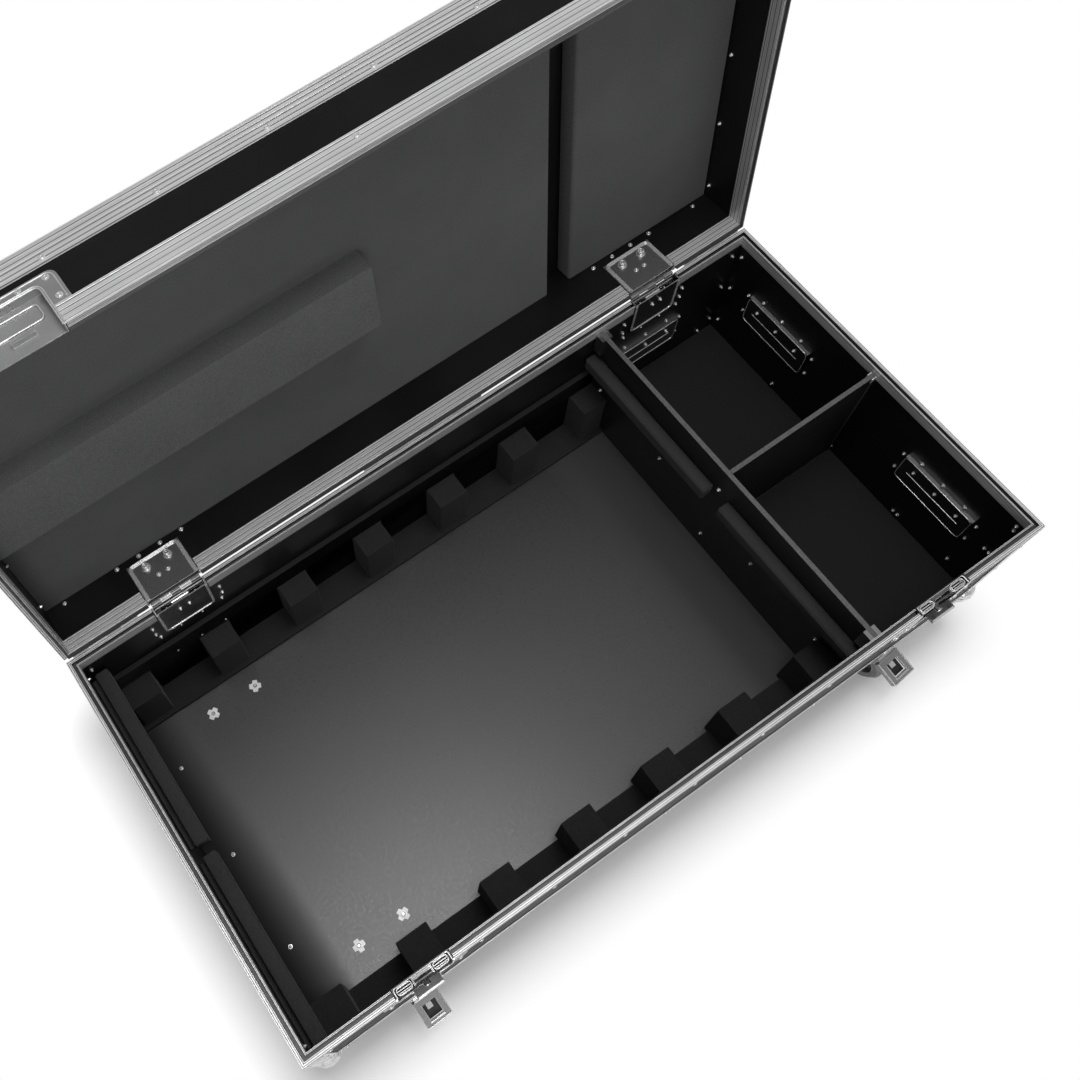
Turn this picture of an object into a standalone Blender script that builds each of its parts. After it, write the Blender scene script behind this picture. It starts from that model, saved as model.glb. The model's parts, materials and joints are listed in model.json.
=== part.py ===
"""Wheeled touring case for stage lights, shown with its lid open.

Metres, +Z up, front towards -Y.  The origin is the centre of the floor
panel's underside.  The lid hangs from an empty on the hinge line.
"""

import math

import bmesh
import bpy
from mathutils import Matrix, Vector

# Case shell
CASE_LENGTH = 1.200
CASE_DEPTH = 0.600
BASE_HEIGHT = 0.275
LID_HEIGHT = 0.118
PANEL_THICKNESS = 0.0095
SKIN = 0.0013
FIT = 0.0003
OVERRUN = 0.002
LID_OPEN_ANGLE = math.radians(96.4)
HINGE_OFFSET = 0.003

# Closing extrusions, measured inwards from the outer face and down from the closing plane
RIM_OUTER_LEG = 0.028
RIM_INNER_LEG = 0.020
RIM_WIDTH = 0.0127
RIM_LEDGE = 0.0052
RIM_LIP = 0.0020
GROOVE_DEPTH = 0.0080
GROOVE_WEB = 0.0016
TONGUE_WIDTH = 0.0020
TONGUE_DEPTH = 0.0060
TONGUE_INSET = 0.00695

# Piano hinge knuckles on the back extrusions
KNUCKLE_RADIUS = 0.0027
KNUCKLE_PITCH = 0.026
KNUCKLE_WEB = 0.0060
KNUCKLE_WEB_THICKNESS = 0.0016
KNUCKLE_SIDES = 10
CENTRE_KNUCKLES = 8
SIDE_KNUCKLES = 4
SIDE_KNUCKLE_GAP = 0.0625

# Edge angles and ball corners
BASE_EDGE_LEG = 0.032
UNDER_EDGE_LEG = 0.024
LID_EDGE_LEG = 0.035
UPRIGHT_LEG = 0.030
BALL_RADIUS = 0.026
BALL_INSET = 0.016
BALL_SEGMENTS = 12
BALL_RINGS = 6

# Pressed dishes set into the closing line
RIM_DISH_FROM_END = 0.1785
RIM_DISH_HALF = 0.042
RIM_DISH_HEIGHT = 0.077
RIM_DISH_DEPTH = 0.0135
RIM_FLANGE_NECK = 0.043
RIM_FLANGE_HALF = 0.064
RIM_FLANGE_HEIGHT = 0.092
LID_DISH_HEIGHT = 0.062
LID_FLANGE_HEIGHT = 0.074
FLANGE_RADIUS = 0.010
CORNER_STEPS = 4

# Hinge barrels inside the hinge dishes
HINGE_KNUCKLE_LENGTH = 0.016
HINGE_PIN_RADIUS = 0.0012
HINGE_BORE_RADIUS = 0.0015

# Handle dishes and sprung grips
HANDLE_HALF_LENGTH = 0.065
HANDLE_HALF_HEIGHT = 0.0305
HANDLE_DEPTH = 0.017
HANDLE_FLANGE_END = 0.013
HANDLE_FLANGE_SIDE = 0.0145
SIDE_HANDLE_FROM_CORNER = 0.130
SIDE_HANDLE_DROP = 0.131
BACK_HANDLE_LIFT = 0.0035
GRIP_RADIUS = 0.0065
GRIP_ARM_RADIUS = 0.0035
GRIP_ARM_FROM_END = 0.015
GRIP_PIVOT_FROM_TOP = 0.009
GRIP_BAR_FROM_BOTTOM = 0.012
GRIP_RECESS = 0.0082
GRIP_SLEEVE_GAP = 0.006
GRIP_SIDES = 10

# Twist latches
LATCH_AXIS_Z = -0.038
SPINDLE_RADIUS = 0.005
SPINDLE_INNER = 0.0115
SPINDLE_OUTER = 0.005
WING_HALF_LENGTH = 0.020
WING_THICKNESS = 0.003
WING_START = 0.0006
WING_REACH = 0.0130
HOOK_HALF_WIDTH = 0.013
HOOK_TOP = -0.003
HOOK_BOTTOM = -0.031
HOOK_BACK = -0.0100
HOOK_FACE = -0.0075
HOOK_LIP_BACK = -0.0118
HOOK_LIP_HEIGHT = 0.003
CATCH_HALF_WIDTH = 0.014
CATCH_LOW = -0.020
CATCH_HIGH = -0.016
CATCH_FACE = -0.005

# Castors
CASTOR_FROM_END = 0.1677
CASTOR_FROM_SIDE = 0.0685
CASTOR_PLATE_LENGTH = 0.105
CASTOR_PLATE_DEPTH = 0.085
CASTOR_PLATE_THICKNESS = 0.004
CASTOR_HEAD_RADIUS = 0.030
CASTOR_HEAD_BOTTOM = -0.0155
CASTOR_TRAIL = 0.038
AXLE_Z = -0.078
AXLE_RADIUS = 0.004
AXLE_HALF_LENGTH = 0.026
WHEEL_RADIUS = 0.050
WHEEL_HALF_WIDTH = 0.016
WHEEL_TREAD_ROUND = 0.004
WHEEL_RIM_RADIUS = 0.036
WHEEL_WEB_HALF = 0.009
WHEEL_HUB_RADIUS = 0.013
WHEEL_HUB_HALF = 0.0175
WHEEL_BORE_RADIUS = 0.0043
WHEEL_STEPS = 24
FORK_INNER = 0.019
FORK_PLATE = 0.003
FORK_FRONT = 0.018
FORK_BACK = -0.070
FORK_SHOULDER = -0.032
FORK_HEEL = -0.028
FORK_TOE = -0.090
FORK_END_HALF = 0.013
FORK_END_CHAMFER = 0.006
CROWN_THICKNESS = 0.0035
LEFT_CASTOR_TURN = math.radians(1.0)
RIGHT_CASTOR_TURN = math.radians(5.5)
BACK_CASTOR_TURN = math.radians(180.0)

# Brake pedals
PEDAL_PIVOT_Y = -0.064
PEDAL_PIVOT_Z = -0.026
PEDAL_SLOPE = math.radians(18.0)
PEDAL_HALF_WIDTH = 0.021
PEDAL_START = -0.0095
PEDAL_END = -0.051
PEDAL_THICKNESS = 0.0025
PEDAL_FLANGE = 0.009
PEDAL_TONGUE_HALF = 0.017
PEDAL_TONGUE_BACK = 0.005
PEDAL_PIN_RADIUS = 0.0028
PEDAL_PIN_HALF = 0.0186
PEDAL_WINDOW_HALF = 0.011
PEDAL_WINDOW_START = -0.019
PEDAL_WINDOW_END = -0.042

# Divider and cross partition
DIVIDER_FROM_END = 0.287
DIVIDER_THICKNESS = 0.007
PARTITION_TOP = 0.012
PARTITION_THICKNESS = 0.0065
CHANNEL_HALF_WIDTH = 0.0095
CHANNEL_DEPTH = 0.015
CHANNEL_HEIGHT = 0.042

# Foam cradles
CRADLE_DROP = 0.115
CRADLE_BOARD = 0.0085
CRADLE_LEDGE_TOP = 0.019
CRADLE_LEDGE_DEPTH = 0.054
CRADLE_TOOTH_DEPTH = 0.046
CRADLE_TOOTH_DROP = 0.160
CRADLE_TOOTH_WIDTH = 0.050
CRADLE_LAST_TOOTH_WIDTH = 0.0447
CRADLE_FIRST_TOOTH_FROM_END = 0.034
CRADLE_TEETH = 7
TOOTH_ROUND = 0.010

# Rest pads
PAD_HEIGHT = 0.027
PAD_WIDTH = 0.020
PAD_STANDOFF = 0.0085
PAD_FOOT_HEIGHT = 0.012
LEFT_PAD_TOP = 0.060
RIGHT_PAD_TOP = 0.068
PAD_ROUND = 0.003
LEFT_PAD_GAP = (-0.013, 0.003)
RIGHT_PAD_GAP = (-0.017, 0.013)
LEFT_PAD_FROM_SIDE = 0.0145
RIGHT_PAD_FROM_SIDE = 0.0130

# Lid foam
LID_FOAM_FACE = 0.075
FOAM_GROOVE_LEFT = 0.030
FOAM_GROOVE_RIGHT = 0.012
FOAM_BAR_FACE = 0.040
FOAM_BAR_REACH = 0.585
FOAM_BAR_FRONT = -0.056
FOAM_BAR_BACK = 0.065
FOAM_ROUND = 0.004

HALF_LENGTH = CASE_LENGTH / 2
HALF_DEPTH = CASE_DEPTH / 2
RIM_DISH_X = HALF_LENGTH - RIM_DISH_FROM_END
SIDE_KNUCKLE_START = RIM_DISH_X + SIDE_KNUCKLE_GAP
HANDLE_FLANGE_HALF_LENGTH = HANDLE_HALF_LENGTH + HANDLE_FLANGE_END
HANDLE_FLANGE_HALF_HEIGHT = HANDLE_HALF_HEIGHT + HANDLE_FLANGE_SIDE
SIDE_HANDLE_Y = HALF_DEPTH - SIDE_HANDLE_FROM_CORNER
SIDE_HANDLE_Z = BASE_HEIGHT - SIDE_HANDLE_DROP
BACK_HANDLE_Z = (BASE_EDGE_LEG + BASE_HEIGHT - RIM_FLANGE_HEIGHT) / 2 + BACK_HANDLE_LIFT
GRIP_HALF_SPAN = HANDLE_HALF_LENGTH - GRIP_ARM_FROM_END
GRIP_PIN_REACH = HANDLE_HALF_LENGTH - SKIN - FIT
GRIP_HALF_LENGTH = GRIP_HALF_SPAN - GRIP_SLEEVE_GAP
GRIP_PIVOT_Z = HANDLE_HALF_HEIGHT - GRIP_PIVOT_FROM_TOP
GRIP_BAR_Z = GRIP_BAR_FROM_BOTTOM - HANDLE_HALF_HEIGHT
CASTOR_X = HALF_LENGTH - CASTOR_FROM_END
CASTOR_Y = HALF_DEPTH - CASTOR_FROM_SIDE
DIVIDER_LEFT = HALF_LENGTH - DIVIDER_FROM_END
CRADLE_TOP = BASE_HEIGHT - CRADLE_DROP
CRADLE_TOOTH_TOP = BASE_HEIGHT - CRADLE_TOOTH_DROP
CRADLE_FIRST_TOOTH = CRADLE_FIRST_TOOTH_FROM_END - HALF_LENGTH
FOAM_LEFT_END = DIVIDER_LEFT - FOAM_GROOVE_LEFT
FOAM_RIGHT_START = DIVIDER_LEFT + FOAM_GROOVE_RIGHT
FOAM_BAR_END = FOAM_BAR_REACH - HALF_LENGTH
PANEL_X = HALF_LENGTH - SKIN - FIT
PANEL_Y = HALF_DEPTH - SKIN - FIT
INNER_X = PANEL_X - PANEL_THICKNESS
INNER_Y = PANEL_Y - PANEL_THICKNESS
FLOOR_TOP = PANEL_THICKNESS + FIT
PANEL_TOP_DROP = GROOVE_DEPTH + GROOVE_WEB + FIT
EDGE_TOP = BASE_HEIGHT - RIM_OUTER_LEG - FIT
LID_PANEL_TOP = LID_HEIGHT - SKIN - FIT
LID_PANEL_BOTTOM = LID_PANEL_TOP - PANEL_THICKNESS

COLLECTION = None
CUTTERS = None


def clear_scene():
    """Remove every object of the open scene."""
    for item in list(bpy.data.objects):
        bpy.data.objects.remove(item, do_unlink=True)


def make_collection(name):
    group = bpy.data.collections.new(name)
    bpy.context.scene.collection.children.link(group)
    return group


def make_material(name, colour, roughness, metallic):
    material = bpy.data.materials.new(name)
    material.use_nodes = True
    shader = material.node_tree.nodes["Principled BSDF"]
    shader.inputs["Base Color"].default_value = (*colour, 1.0)
    shader.inputs["Roughness"].default_value = roughness
    shader.inputs["Metallic"].default_value = metallic
    material.diffuse_color = (*colour, 1.0)
    return material


def own_material(name, look):
    """Give one sub-part a material of its own from a (colour, roughness, metallic) look."""
    return make_material("mat_" + name, *look)


LAMINATE = ((0.012, 0.012, 0.013), 0.45, 0.0)
BOARD = ((0.10, 0.10, 0.105), 0.58, 0.0)
ALUMINIUM = ((0.75, 0.75, 0.76), 0.28, 1.0)
ZINC = ((0.62, 0.63, 0.65), 0.25, 1.0)
FOAM = ((0.030, 0.030, 0.032), 0.95, 0.0)
TYRE = ((0.12, 0.12, 0.13), 0.58, 0.0)
GRIP = ((0.02, 0.02, 0.02), 0.7, 0.0)


def place(mesh, name, group, location=(0, 0, 0), rotation=(0, 0, 0), parent=None):
    item = bpy.data.objects.new(name, mesh)
    group.objects.link(item)
    item.location = location
    item.rotation_euler = rotation
    item.parent = parent
    return item


def add_part(name, mesh, look, location=(0, 0, 0), rotation=(0, 0, 0), parent=None):
    """Put a mesh in the case's collection as one named sub-part."""
    item = place(mesh, name, COLLECTION, location, rotation, parent)
    mesh.materials.append(own_material(name, look))
    return item


def box_into(work, low, high):
    """Add a box between two corners to a working mesh."""
    low = Vector(low)
    high = Vector(high)
    size = high - low
    matrix = Matrix.Translation((low + high) / 2) @ Matrix.Diagonal((*size, 1.0))
    return bmesh.ops.create_cube(work, size=1.0, matrix=matrix)["verts"]


def boxes_mesh(name, boxes):
    mesh = bpy.data.meshes.new(name)
    work = bmesh.new()
    for low, high in boxes:
        box_into(work, low, high)
    work.to_mesh(mesh)
    work.free()
    return mesh


def box_mesh(name, low, high):
    return boxes_mesh(name, [(low, high)])


def rod_matrix(start, end):
    """Place a unit +Z cylinder so that it runs from start to end."""
    start = Vector(start)
    end = Vector(end)
    turn = Vector((0, 0, 1)).rotation_difference(end - start).to_matrix().to_4x4()
    return Matrix.Translation((start + end) / 2) @ turn


def rods_mesh(name, rods, sides):
    """Make one mesh of cylinders, each given as start, end and radius."""
    mesh = bpy.data.meshes.new(name)
    work = bmesh.new()
    for start, end, radius in rods:
        bmesh.ops.create_cone(
            work,
            cap_ends=True,
            segments=sides,
            radius1=radius,
            radius2=radius,
            depth=(Vector(end) - Vector(start)).length,
            matrix=rod_matrix(start, end),
        )
    work.to_mesh(mesh)
    work.free()
    return mesh


def balls_mesh(name, centres, radius):
    mesh = bpy.data.meshes.new(name)
    work = bmesh.new()
    for centre in centres:
        bmesh.ops.create_uvsphere(
            work,
            u_segments=BALL_SEGMENTS,
            v_segments=BALL_RINGS,
            radius=radius,
            matrix=Matrix.Translation(centre),
        )
    work.to_mesh(mesh)
    work.free()
    return mesh


def rounded_outline(corners, radii):
    """Round each corner of a closed outline with its own radius."""
    points = []
    count = len(corners)
    for index, corner in enumerate(corners):
        here = Vector(corner)
        radius = radii[index]
        if radius == 0:
            points.append(here)
            continue
        before = (Vector(corners[index - 1]) - here).normalized()
        after = (Vector(corners[(index + 1) % count]) - here).normalized()
        half = before.angle(after) / 2
        centre = here + (before + after).normalized() * (radius / math.sin(half))
        start = (here + before * (radius / math.tan(half)) - centre).normalized()
        finish = (here + after * (radius / math.tan(half)) - centre).normalized()
        for step in range(CORNER_STEPS + 1):
            points.append(centre + start.slerp(finish, step / CORNER_STEPS) * radius)
    return points


def outline_mesh(name, corners, radii, thickness):
    """Fill a rounded outline in the XY plane and give it a thickness about Z = 0."""
    curve = bpy.data.curves.new(name, "CURVE")
    curve.dimensions = "2D"
    curve.fill_mode = "BOTH"
    curve.extrude = thickness / 2
    curve.resolution_u = 1
    points = rounded_outline(corners, radii)
    spline = curve.splines.new("POLY")
    spline.points.add(len(points) - 1)
    for point, spot in zip(spline.points, points):
        point.co = (spot.x, spot.y, 0, 1)
    spline.use_cyclic_u = True
    holder = bpy.data.objects.new(name, curve)
    bpy.context.scene.collection.objects.link(holder)
    bpy.context.view_layer.update()
    mesh = bpy.data.meshes.new_from_object(holder)
    bpy.data.objects.remove(holder, do_unlink=True)
    bpy.data.curves.remove(curve)
    work = bmesh.new()
    work.from_mesh(mesh)
    bmesh.ops.remove_doubles(work, verts=work.verts, dist=FIT / 10)
    bmesh.ops.recalc_face_normals(work, faces=work.faces)
    work.to_mesh(mesh)
    work.free()
    return mesh


def stand_up(mesh, offset):
    """Turn an outline from the XY plane into the XZ plane, centred at Y = offset."""
    mesh.transform(Matrix.Translation((0, offset, 0)) @ Matrix.Rotation(math.pi / 2, 4, "X"))
    return mesh


def sweep_mesh(name, profile, path, closed):
    """Run a profile of (inset, height) pairs along a plan path with mitred corners."""
    spots = []
    count = len(path)
    for index, spot in enumerate(path):
        here = Vector(spot)
        sides = []
        if closed or index > 0:
            sides.append((here - Vector(path[index - 1])).normalized())
        if closed or index < count - 1:
            sides.append((Vector(path[(index + 1) % count]) - here).normalized())
        inward = [Vector((-side.y, side.x)) for side in sides]
        miter = sum(inward, Vector((0, 0))).normalized()
        spots.append((here, miter / miter.dot(inward[0])))
    mesh = bpy.data.meshes.new(name)
    work = bmesh.new()
    rings = []
    for here, miter in spots:
        ring = [work.verts.new((*(here + miter * inset), height)) for inset, height in profile]
        rings.append(ring)
    pairs = list(zip(rings, rings[1:]))
    if closed:
        pairs.append((rings[-1], rings[0]))
    for first, second in pairs:
        for low in range(len(profile)):
            high = (low + 1) % len(profile)
            work.faces.new((first[low], first[high], second[high], second[low]))
    if not closed:
        work.faces.new(rings[0])
        work.faces.new(rings[-1])
    bmesh.ops.recalc_face_normals(work, faces=work.faces)
    work.to_mesh(mesh)
    work.free()
    return mesh


def combine(item, mesh, operation):
    """Join to or cut from a sub-part another mesh given in its own frame."""
    tool = place(mesh, item.name + "_" + mesh.name, CUTTERS, parent=item)
    tool.hide_render = True
    tool.display_type = "WIRE"
    modifier = item.modifiers.new(mesh.name, "BOOLEAN")
    modifier.operation = operation
    modifier.solver = "EXACT"
    modifier.object = tool


def join(item, mesh):
    combine(item, mesh, "UNION")


def cut(item, mesh):
    combine(item, mesh, "DIFFERENCE")


def round_edges(item, width, segments):
    modifier = item.modifiers.new("soft_edges", "BEVEL")
    modifier.width = width
    modifier.segments = segments
    modifier.limit_method = "ANGLE"


def smooth(mesh, angle=math.radians(35)):
    mesh.shade_smooth()
    mesh.set_sharp_from_angle(angle=angle)


# Panels of the base
def make_floor_panel():
    """Floor board with the four castor plates bolted under it."""
    mesh = box_mesh("floor", (-PANEL_X, -PANEL_Y, 0), (PANEL_X, PANEL_Y, PANEL_THICKNESS))
    floor = add_part("floor_panel", mesh, BOARD)
    plates = []
    for x in (-CASTOR_X, CASTOR_X):
        for y in (-CASTOR_Y, CASTOR_Y):
            half = Vector((CASTOR_PLATE_LENGTH / 2, CASTOR_PLATE_DEPTH / 2, 0))
            centre = Vector((x, y, 0))
            low = centre - half - Vector((0, 0, CASTOR_PLATE_THICKNESS))
            high = centre + half + Vector((0, 0, OVERRUN))
            plates.append((low, high))
    join(floor, boxes_mesh("castor_plates", plates))


def rim_dish_notches(y_low, y_high):
    """Boxes that clear the panel behind both dishes of one long side."""
    half = RIM_DISH_HALF + FIT
    low = BASE_HEIGHT - RIM_DISH_HEIGHT - FIT
    return [
        ((x - half, y_low, low), (x + half, y_high, BASE_HEIGHT + OVERRUN))
        for x in (-RIM_DISH_X, RIM_DISH_X)
    ]


def make_long_panels():
    top = BASE_HEIGHT - PANEL_TOP_DROP
    front_mesh = box_mesh("board", (-PANEL_X, -PANEL_Y, FLOOR_TOP), (PANEL_X, -INNER_Y, top))
    front = add_part("front_panel", front_mesh, LAMINATE)
    cut(front, boxes_mesh("dish_notches", rim_dish_notches(-HALF_DEPTH, -INNER_Y + OVERRUN)))
    back_mesh = box_mesh("board", (-PANEL_X, INNER_Y, FLOOR_TOP), (PANEL_X, PANEL_Y, top))
    back = add_part("back_panel", back_mesh, LAMINATE)
    cut(back, boxes_mesh("dish_notches", rim_dish_notches(INNER_Y - OVERRUN, HALF_DEPTH)))
    trays = []
    flanges = []
    hollows = []
    for x in (-RIM_DISH_X, RIM_DISH_X):
        centre = Vector((x, HALF_DEPTH, BACK_HANDLE_Z))
        trays.append(handle_tray_box(centre))
        flanges.append(handle_flange_box(centre))
        hollows.append(handle_hollow_box(centre))
    join(back, boxes_mesh("trays", trays))
    join(back, boxes_mesh("flanges", flanges))
    cut(back, boxes_mesh("hollows", hollows))


def make_end_panels():
    top = BASE_HEIGHT - PANEL_TOP_DROP
    y = INNER_Y - FIT
    half_length = HANDLE_HALF_LENGTH + FIT
    half_height = HANDLE_HALF_HEIGHT + FIT
    for name, side in (("left_panel", -1), ("right_panel", 1)):
        xs = sorted((side * INNER_X, side * PANEL_X))
        panel = add_part(name, box_mesh("board", (xs[0], -y, FLOOR_TOP), (xs[1], y, top)), LAMINATE)
        windows = []
        for centre in (-SIDE_HANDLE_Y, SIDE_HANDLE_Y):
            low = (xs[0] - OVERRUN, centre - half_length, SIDE_HANDLE_Z - half_height)
            high = (xs[1] + OVERRUN, centre + half_length, SIDE_HANDLE_Z + half_height)
            windows.append((low, high))
        cut(panel, boxes_mesh("handle_windows", windows))


# Closing extrusions
def groove_profile():
    base = BASE_HEIGHT
    web = base - GROOVE_DEPTH - GROOVE_WEB
    inner = RIM_WIDTH - SKIN
    return [
        (0, base),
        (0, base - RIM_OUTER_LEG),
        (SKIN, base - RIM_OUTER_LEG),
        (SKIN, web),
        (inner, web),
        (inner, base - RIM_INNER_LEG),
        (RIM_WIDTH, base - RIM_INNER_LEG),
        (RIM_WIDTH, base),
        (RIM_WIDTH - RIM_LIP, base),
        (RIM_WIDTH - RIM_LIP, base - GROOVE_DEPTH),
        (RIM_LEDGE, base - GROOVE_DEPTH),
        (RIM_LEDGE, base),
    ]


def tongue_profile():
    web = GROOVE_DEPTH + GROOVE_WEB
    inner = RIM_WIDTH - SKIN
    return [
        (0, FIT),
        (0, RIM_OUTER_LEG),
        (SKIN, RIM_OUTER_LEG),
        (SKIN, web),
        (inner, web),
        (inner, RIM_INNER_LEG),
        (RIM_WIDTH, RIM_INNER_LEG),
        (RIM_WIDTH, FIT),
        (TONGUE_INSET + TONGUE_WIDTH, FIT),
        (TONGUE_INSET + TONGUE_WIDTH, -TONGUE_DEPTH),
        (TONGUE_INSET, -TONGUE_DEPTH),
        (TONGUE_INSET, FIT),
    ]


def rim_paths():
    """Plan paths, run anticlockwise so that the inset points inwards."""
    gap = RIM_DISH_X - RIM_FLANGE_NECK - FIT
    end = RIM_DISH_X + RIM_FLANGE_NECK + FIT
    return {
        "front": [(-gap, -HALF_DEPTH), (gap, -HALF_DEPTH)],
        "right": [
            (end, -HALF_DEPTH),
            (HALF_LENGTH, -HALF_DEPTH),
            (HALF_LENGTH, HALF_DEPTH),
            (end, HALF_DEPTH),
        ],
        "back": [(gap, HALF_DEPTH), (-gap, HALF_DEPTH)],
        "left": [
            (-end, HALF_DEPTH),
            (-HALF_LENGTH, HALF_DEPTH),
            (-HALF_LENGTH, -HALF_DEPTH),
            (-end, -HALF_DEPTH),
        ],
    }


def knuckle_spans(side):
    """Start and end along X of each knuckle of one piano hinge strip."""
    if side == "back":
        start = -KNUCKLE_PITCH * CENTRE_KNUCKLES / 2
        count = CENTRE_KNUCKLES
    elif side == "right":
        start = SIDE_KNUCKLE_START
        count = SIDE_KNUCKLES
    else:
        start = -SIDE_KNUCKLE_START - KNUCKLE_PITCH * SIDE_KNUCKLES
        count = SIDE_KNUCKLES
    spans = []
    for index in range(count):
        low = start + index * KNUCKLE_PITCH
        spans.append((low + FIT, low + KNUCKLE_PITCH - FIT))
    return spans


def add_knuckles(rim, spans, axis_y, axis_z, direction):
    """Join barrels on the hinge line and the webs that carry them."""
    rods = [
        ((low, axis_y, axis_z), (high, axis_y, axis_z), KNUCKLE_RADIUS) for low, high in spans
    ]
    join(rim, rods_mesh("barrels", rods, KNUCKLE_SIDES))
    near = axis_y - HINGE_OFFSET - SKIN / 2
    far = axis_y - HINGE_OFFSET + KNUCKLE_WEB_THICKNESS
    webs = []
    for low, high in spans:
        heights = sorted((axis_z + direction * SKIN, axis_z + direction * KNUCKLE_WEB))
        webs.append(((low + FIT, near, heights[0]), (high - FIT, far, heights[1])))
    join(rim, boxes_mesh("webs", webs))


def make_base_rims():
    for side, path in rim_paths().items():
        mesh = sweep_mesh("rim", groove_profile(), path, False)
        rim = add_part("base_rim_" + side, mesh, ALUMINIUM)
        if side != "front":
            spans = knuckle_spans(side)[::2]
            add_knuckles(rim, spans, HALF_DEPTH + HINGE_OFFSET, BASE_HEIGHT, -1)


def make_lid_rims(pivot):
    shift = Vector((0, -HALF_DEPTH - HINGE_OFFSET))
    for side, path in rim_paths().items():
        moved = [tuple(Vector(spot) + shift) for spot in path]
        rim = add_part(
            "lid_rim_" + side,
            sweep_mesh("rim", tongue_profile(), moved, False),
            ALUMINIUM,
            parent=pivot,
        )
        if side != "front":
            add_knuckles(rim, knuckle_spans(side)[1::2], 0, 0, 1)


# Edge angles with their ball corners
def make_edging(name, low_z, high_z, closed_z, side_leg, flat_leg, parent, shift_y):
    """Thin angle frame: a shell open towards the rim, with windows in every face."""
    bottom = min(low_z, high_z)
    top = max(low_z, high_z)
    shift = Vector((0, shift_y, 0))
    corner = Vector((HALF_LENGTH, HALF_DEPTH, 0))
    mesh = box_mesh(
        "shell",
        shift - corner + Vector((0, 0, bottom)),
        shift + corner + Vector((0, 0, top)),
    )
    edging = add_part(name, mesh, ALUMINIUM, parent=parent)
    inward = 1 if closed_z == bottom else -1
    ball_z = closed_z + inward * BALL_INSET
    centres = [
        shift + Vector((x, y, ball_z))
        for x in (-HALF_LENGTH + BALL_INSET, HALF_LENGTH - BALL_INSET)
        for y in (-HALF_DEPTH + BALL_INSET, HALF_DEPTH - BALL_INSET)
    ]
    join(edging, balls_mesh("balls", centres, BALL_RADIUS))
    hollow = Vector((PANEL_X + FIT, PANEL_Y + FIT, 0))
    floor_z = closed_z + inward * SKIN
    open_z = closed_z + inward * (top - bottom + OVERRUN)
    reach = sorted((floor_z, open_z))
    cut(
        edging,
        box_mesh(
            "hollow",
            shift - hollow + Vector((0, 0, reach[0])),
            shift + hollow + Vector((0, 0, reach[1])),
        ),
    )
    side_z = sorted((closed_z + inward * side_leg, open_z))
    far = Vector((HALF_LENGTH + BALL_RADIUS, HALF_DEPTH + BALL_RADIUS, 0))
    long_window = Vector((HALF_LENGTH - UPRIGHT_LEG, far.y, 0))
    end_window = Vector((far.x, HALF_DEPTH - UPRIGHT_LEG, 0))
    flat_window = Vector((HALF_LENGTH - flat_leg, HALF_DEPTH - flat_leg, 0))
    for label, half in (("long_windows", long_window), ("end_windows", end_window)):
        low = shift - half + Vector((0, 0, side_z[0]))
        high = shift + half + Vector((0, 0, side_z[1]))
        cut(edging, box_mesh(label, low, high))
    flat_z = sorted((closed_z - inward * OVERRUN, closed_z + inward * (SKIN + OVERRUN)))
    low = shift - flat_window + Vector((0, 0, flat_z[0]))
    high = shift + flat_window + Vector((0, 0, flat_z[1]))
    cut(edging, box_mesh("flat_window", low, high))


# Pressed dishes
def handle_tray_box(centre):
    low = centre + Vector((-HANDLE_HALF_LENGTH, -HANDLE_DEPTH, -HANDLE_HALF_HEIGHT))
    high = centre + Vector((HANDLE_HALF_LENGTH, -SKIN / 2, HANDLE_HALF_HEIGHT))
    return low, high


def handle_flange_box(centre):
    low = centre + Vector((-HANDLE_FLANGE_HALF_LENGTH, -SKIN - FIT * 2, -HANDLE_FLANGE_HALF_HEIGHT))
    high = centre + Vector((HANDLE_FLANGE_HALF_LENGTH, 0, HANDLE_FLANGE_HALF_HEIGHT))
    return low, high


def handle_hollow_box(centre):
    inner_length = HANDLE_HALF_LENGTH - SKIN
    inner_height = HANDLE_HALF_HEIGHT - SKIN
    low = centre + Vector((-inner_length, SKIN - HANDLE_DEPTH, -inner_height))
    high = centre + Vector((inner_length, OVERRUN, inner_height))
    return low, high


def make_handle_dish(name, location, turn):
    length = HANDLE_FLANGE_HALF_LENGTH
    height = HANDLE_FLANGE_HALF_HEIGHT
    corners = [(-length, -height), (length, -height), (length, height), (-length, height)]
    flange = stand_up(
        outline_mesh("flange", corners, [FLANGE_RADIUS] * len(corners), SKIN), -SKIN / 2
    )
    dish = add_part(name, flange, ZINC, location, (0, 0, turn))
    join(dish, box_mesh("tray", *handle_tray_box(Vector((0, 0, 0)))))
    cut(dish, box_mesh("hollow", *handle_hollow_box(Vector((0, 0, 0)))))


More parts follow.
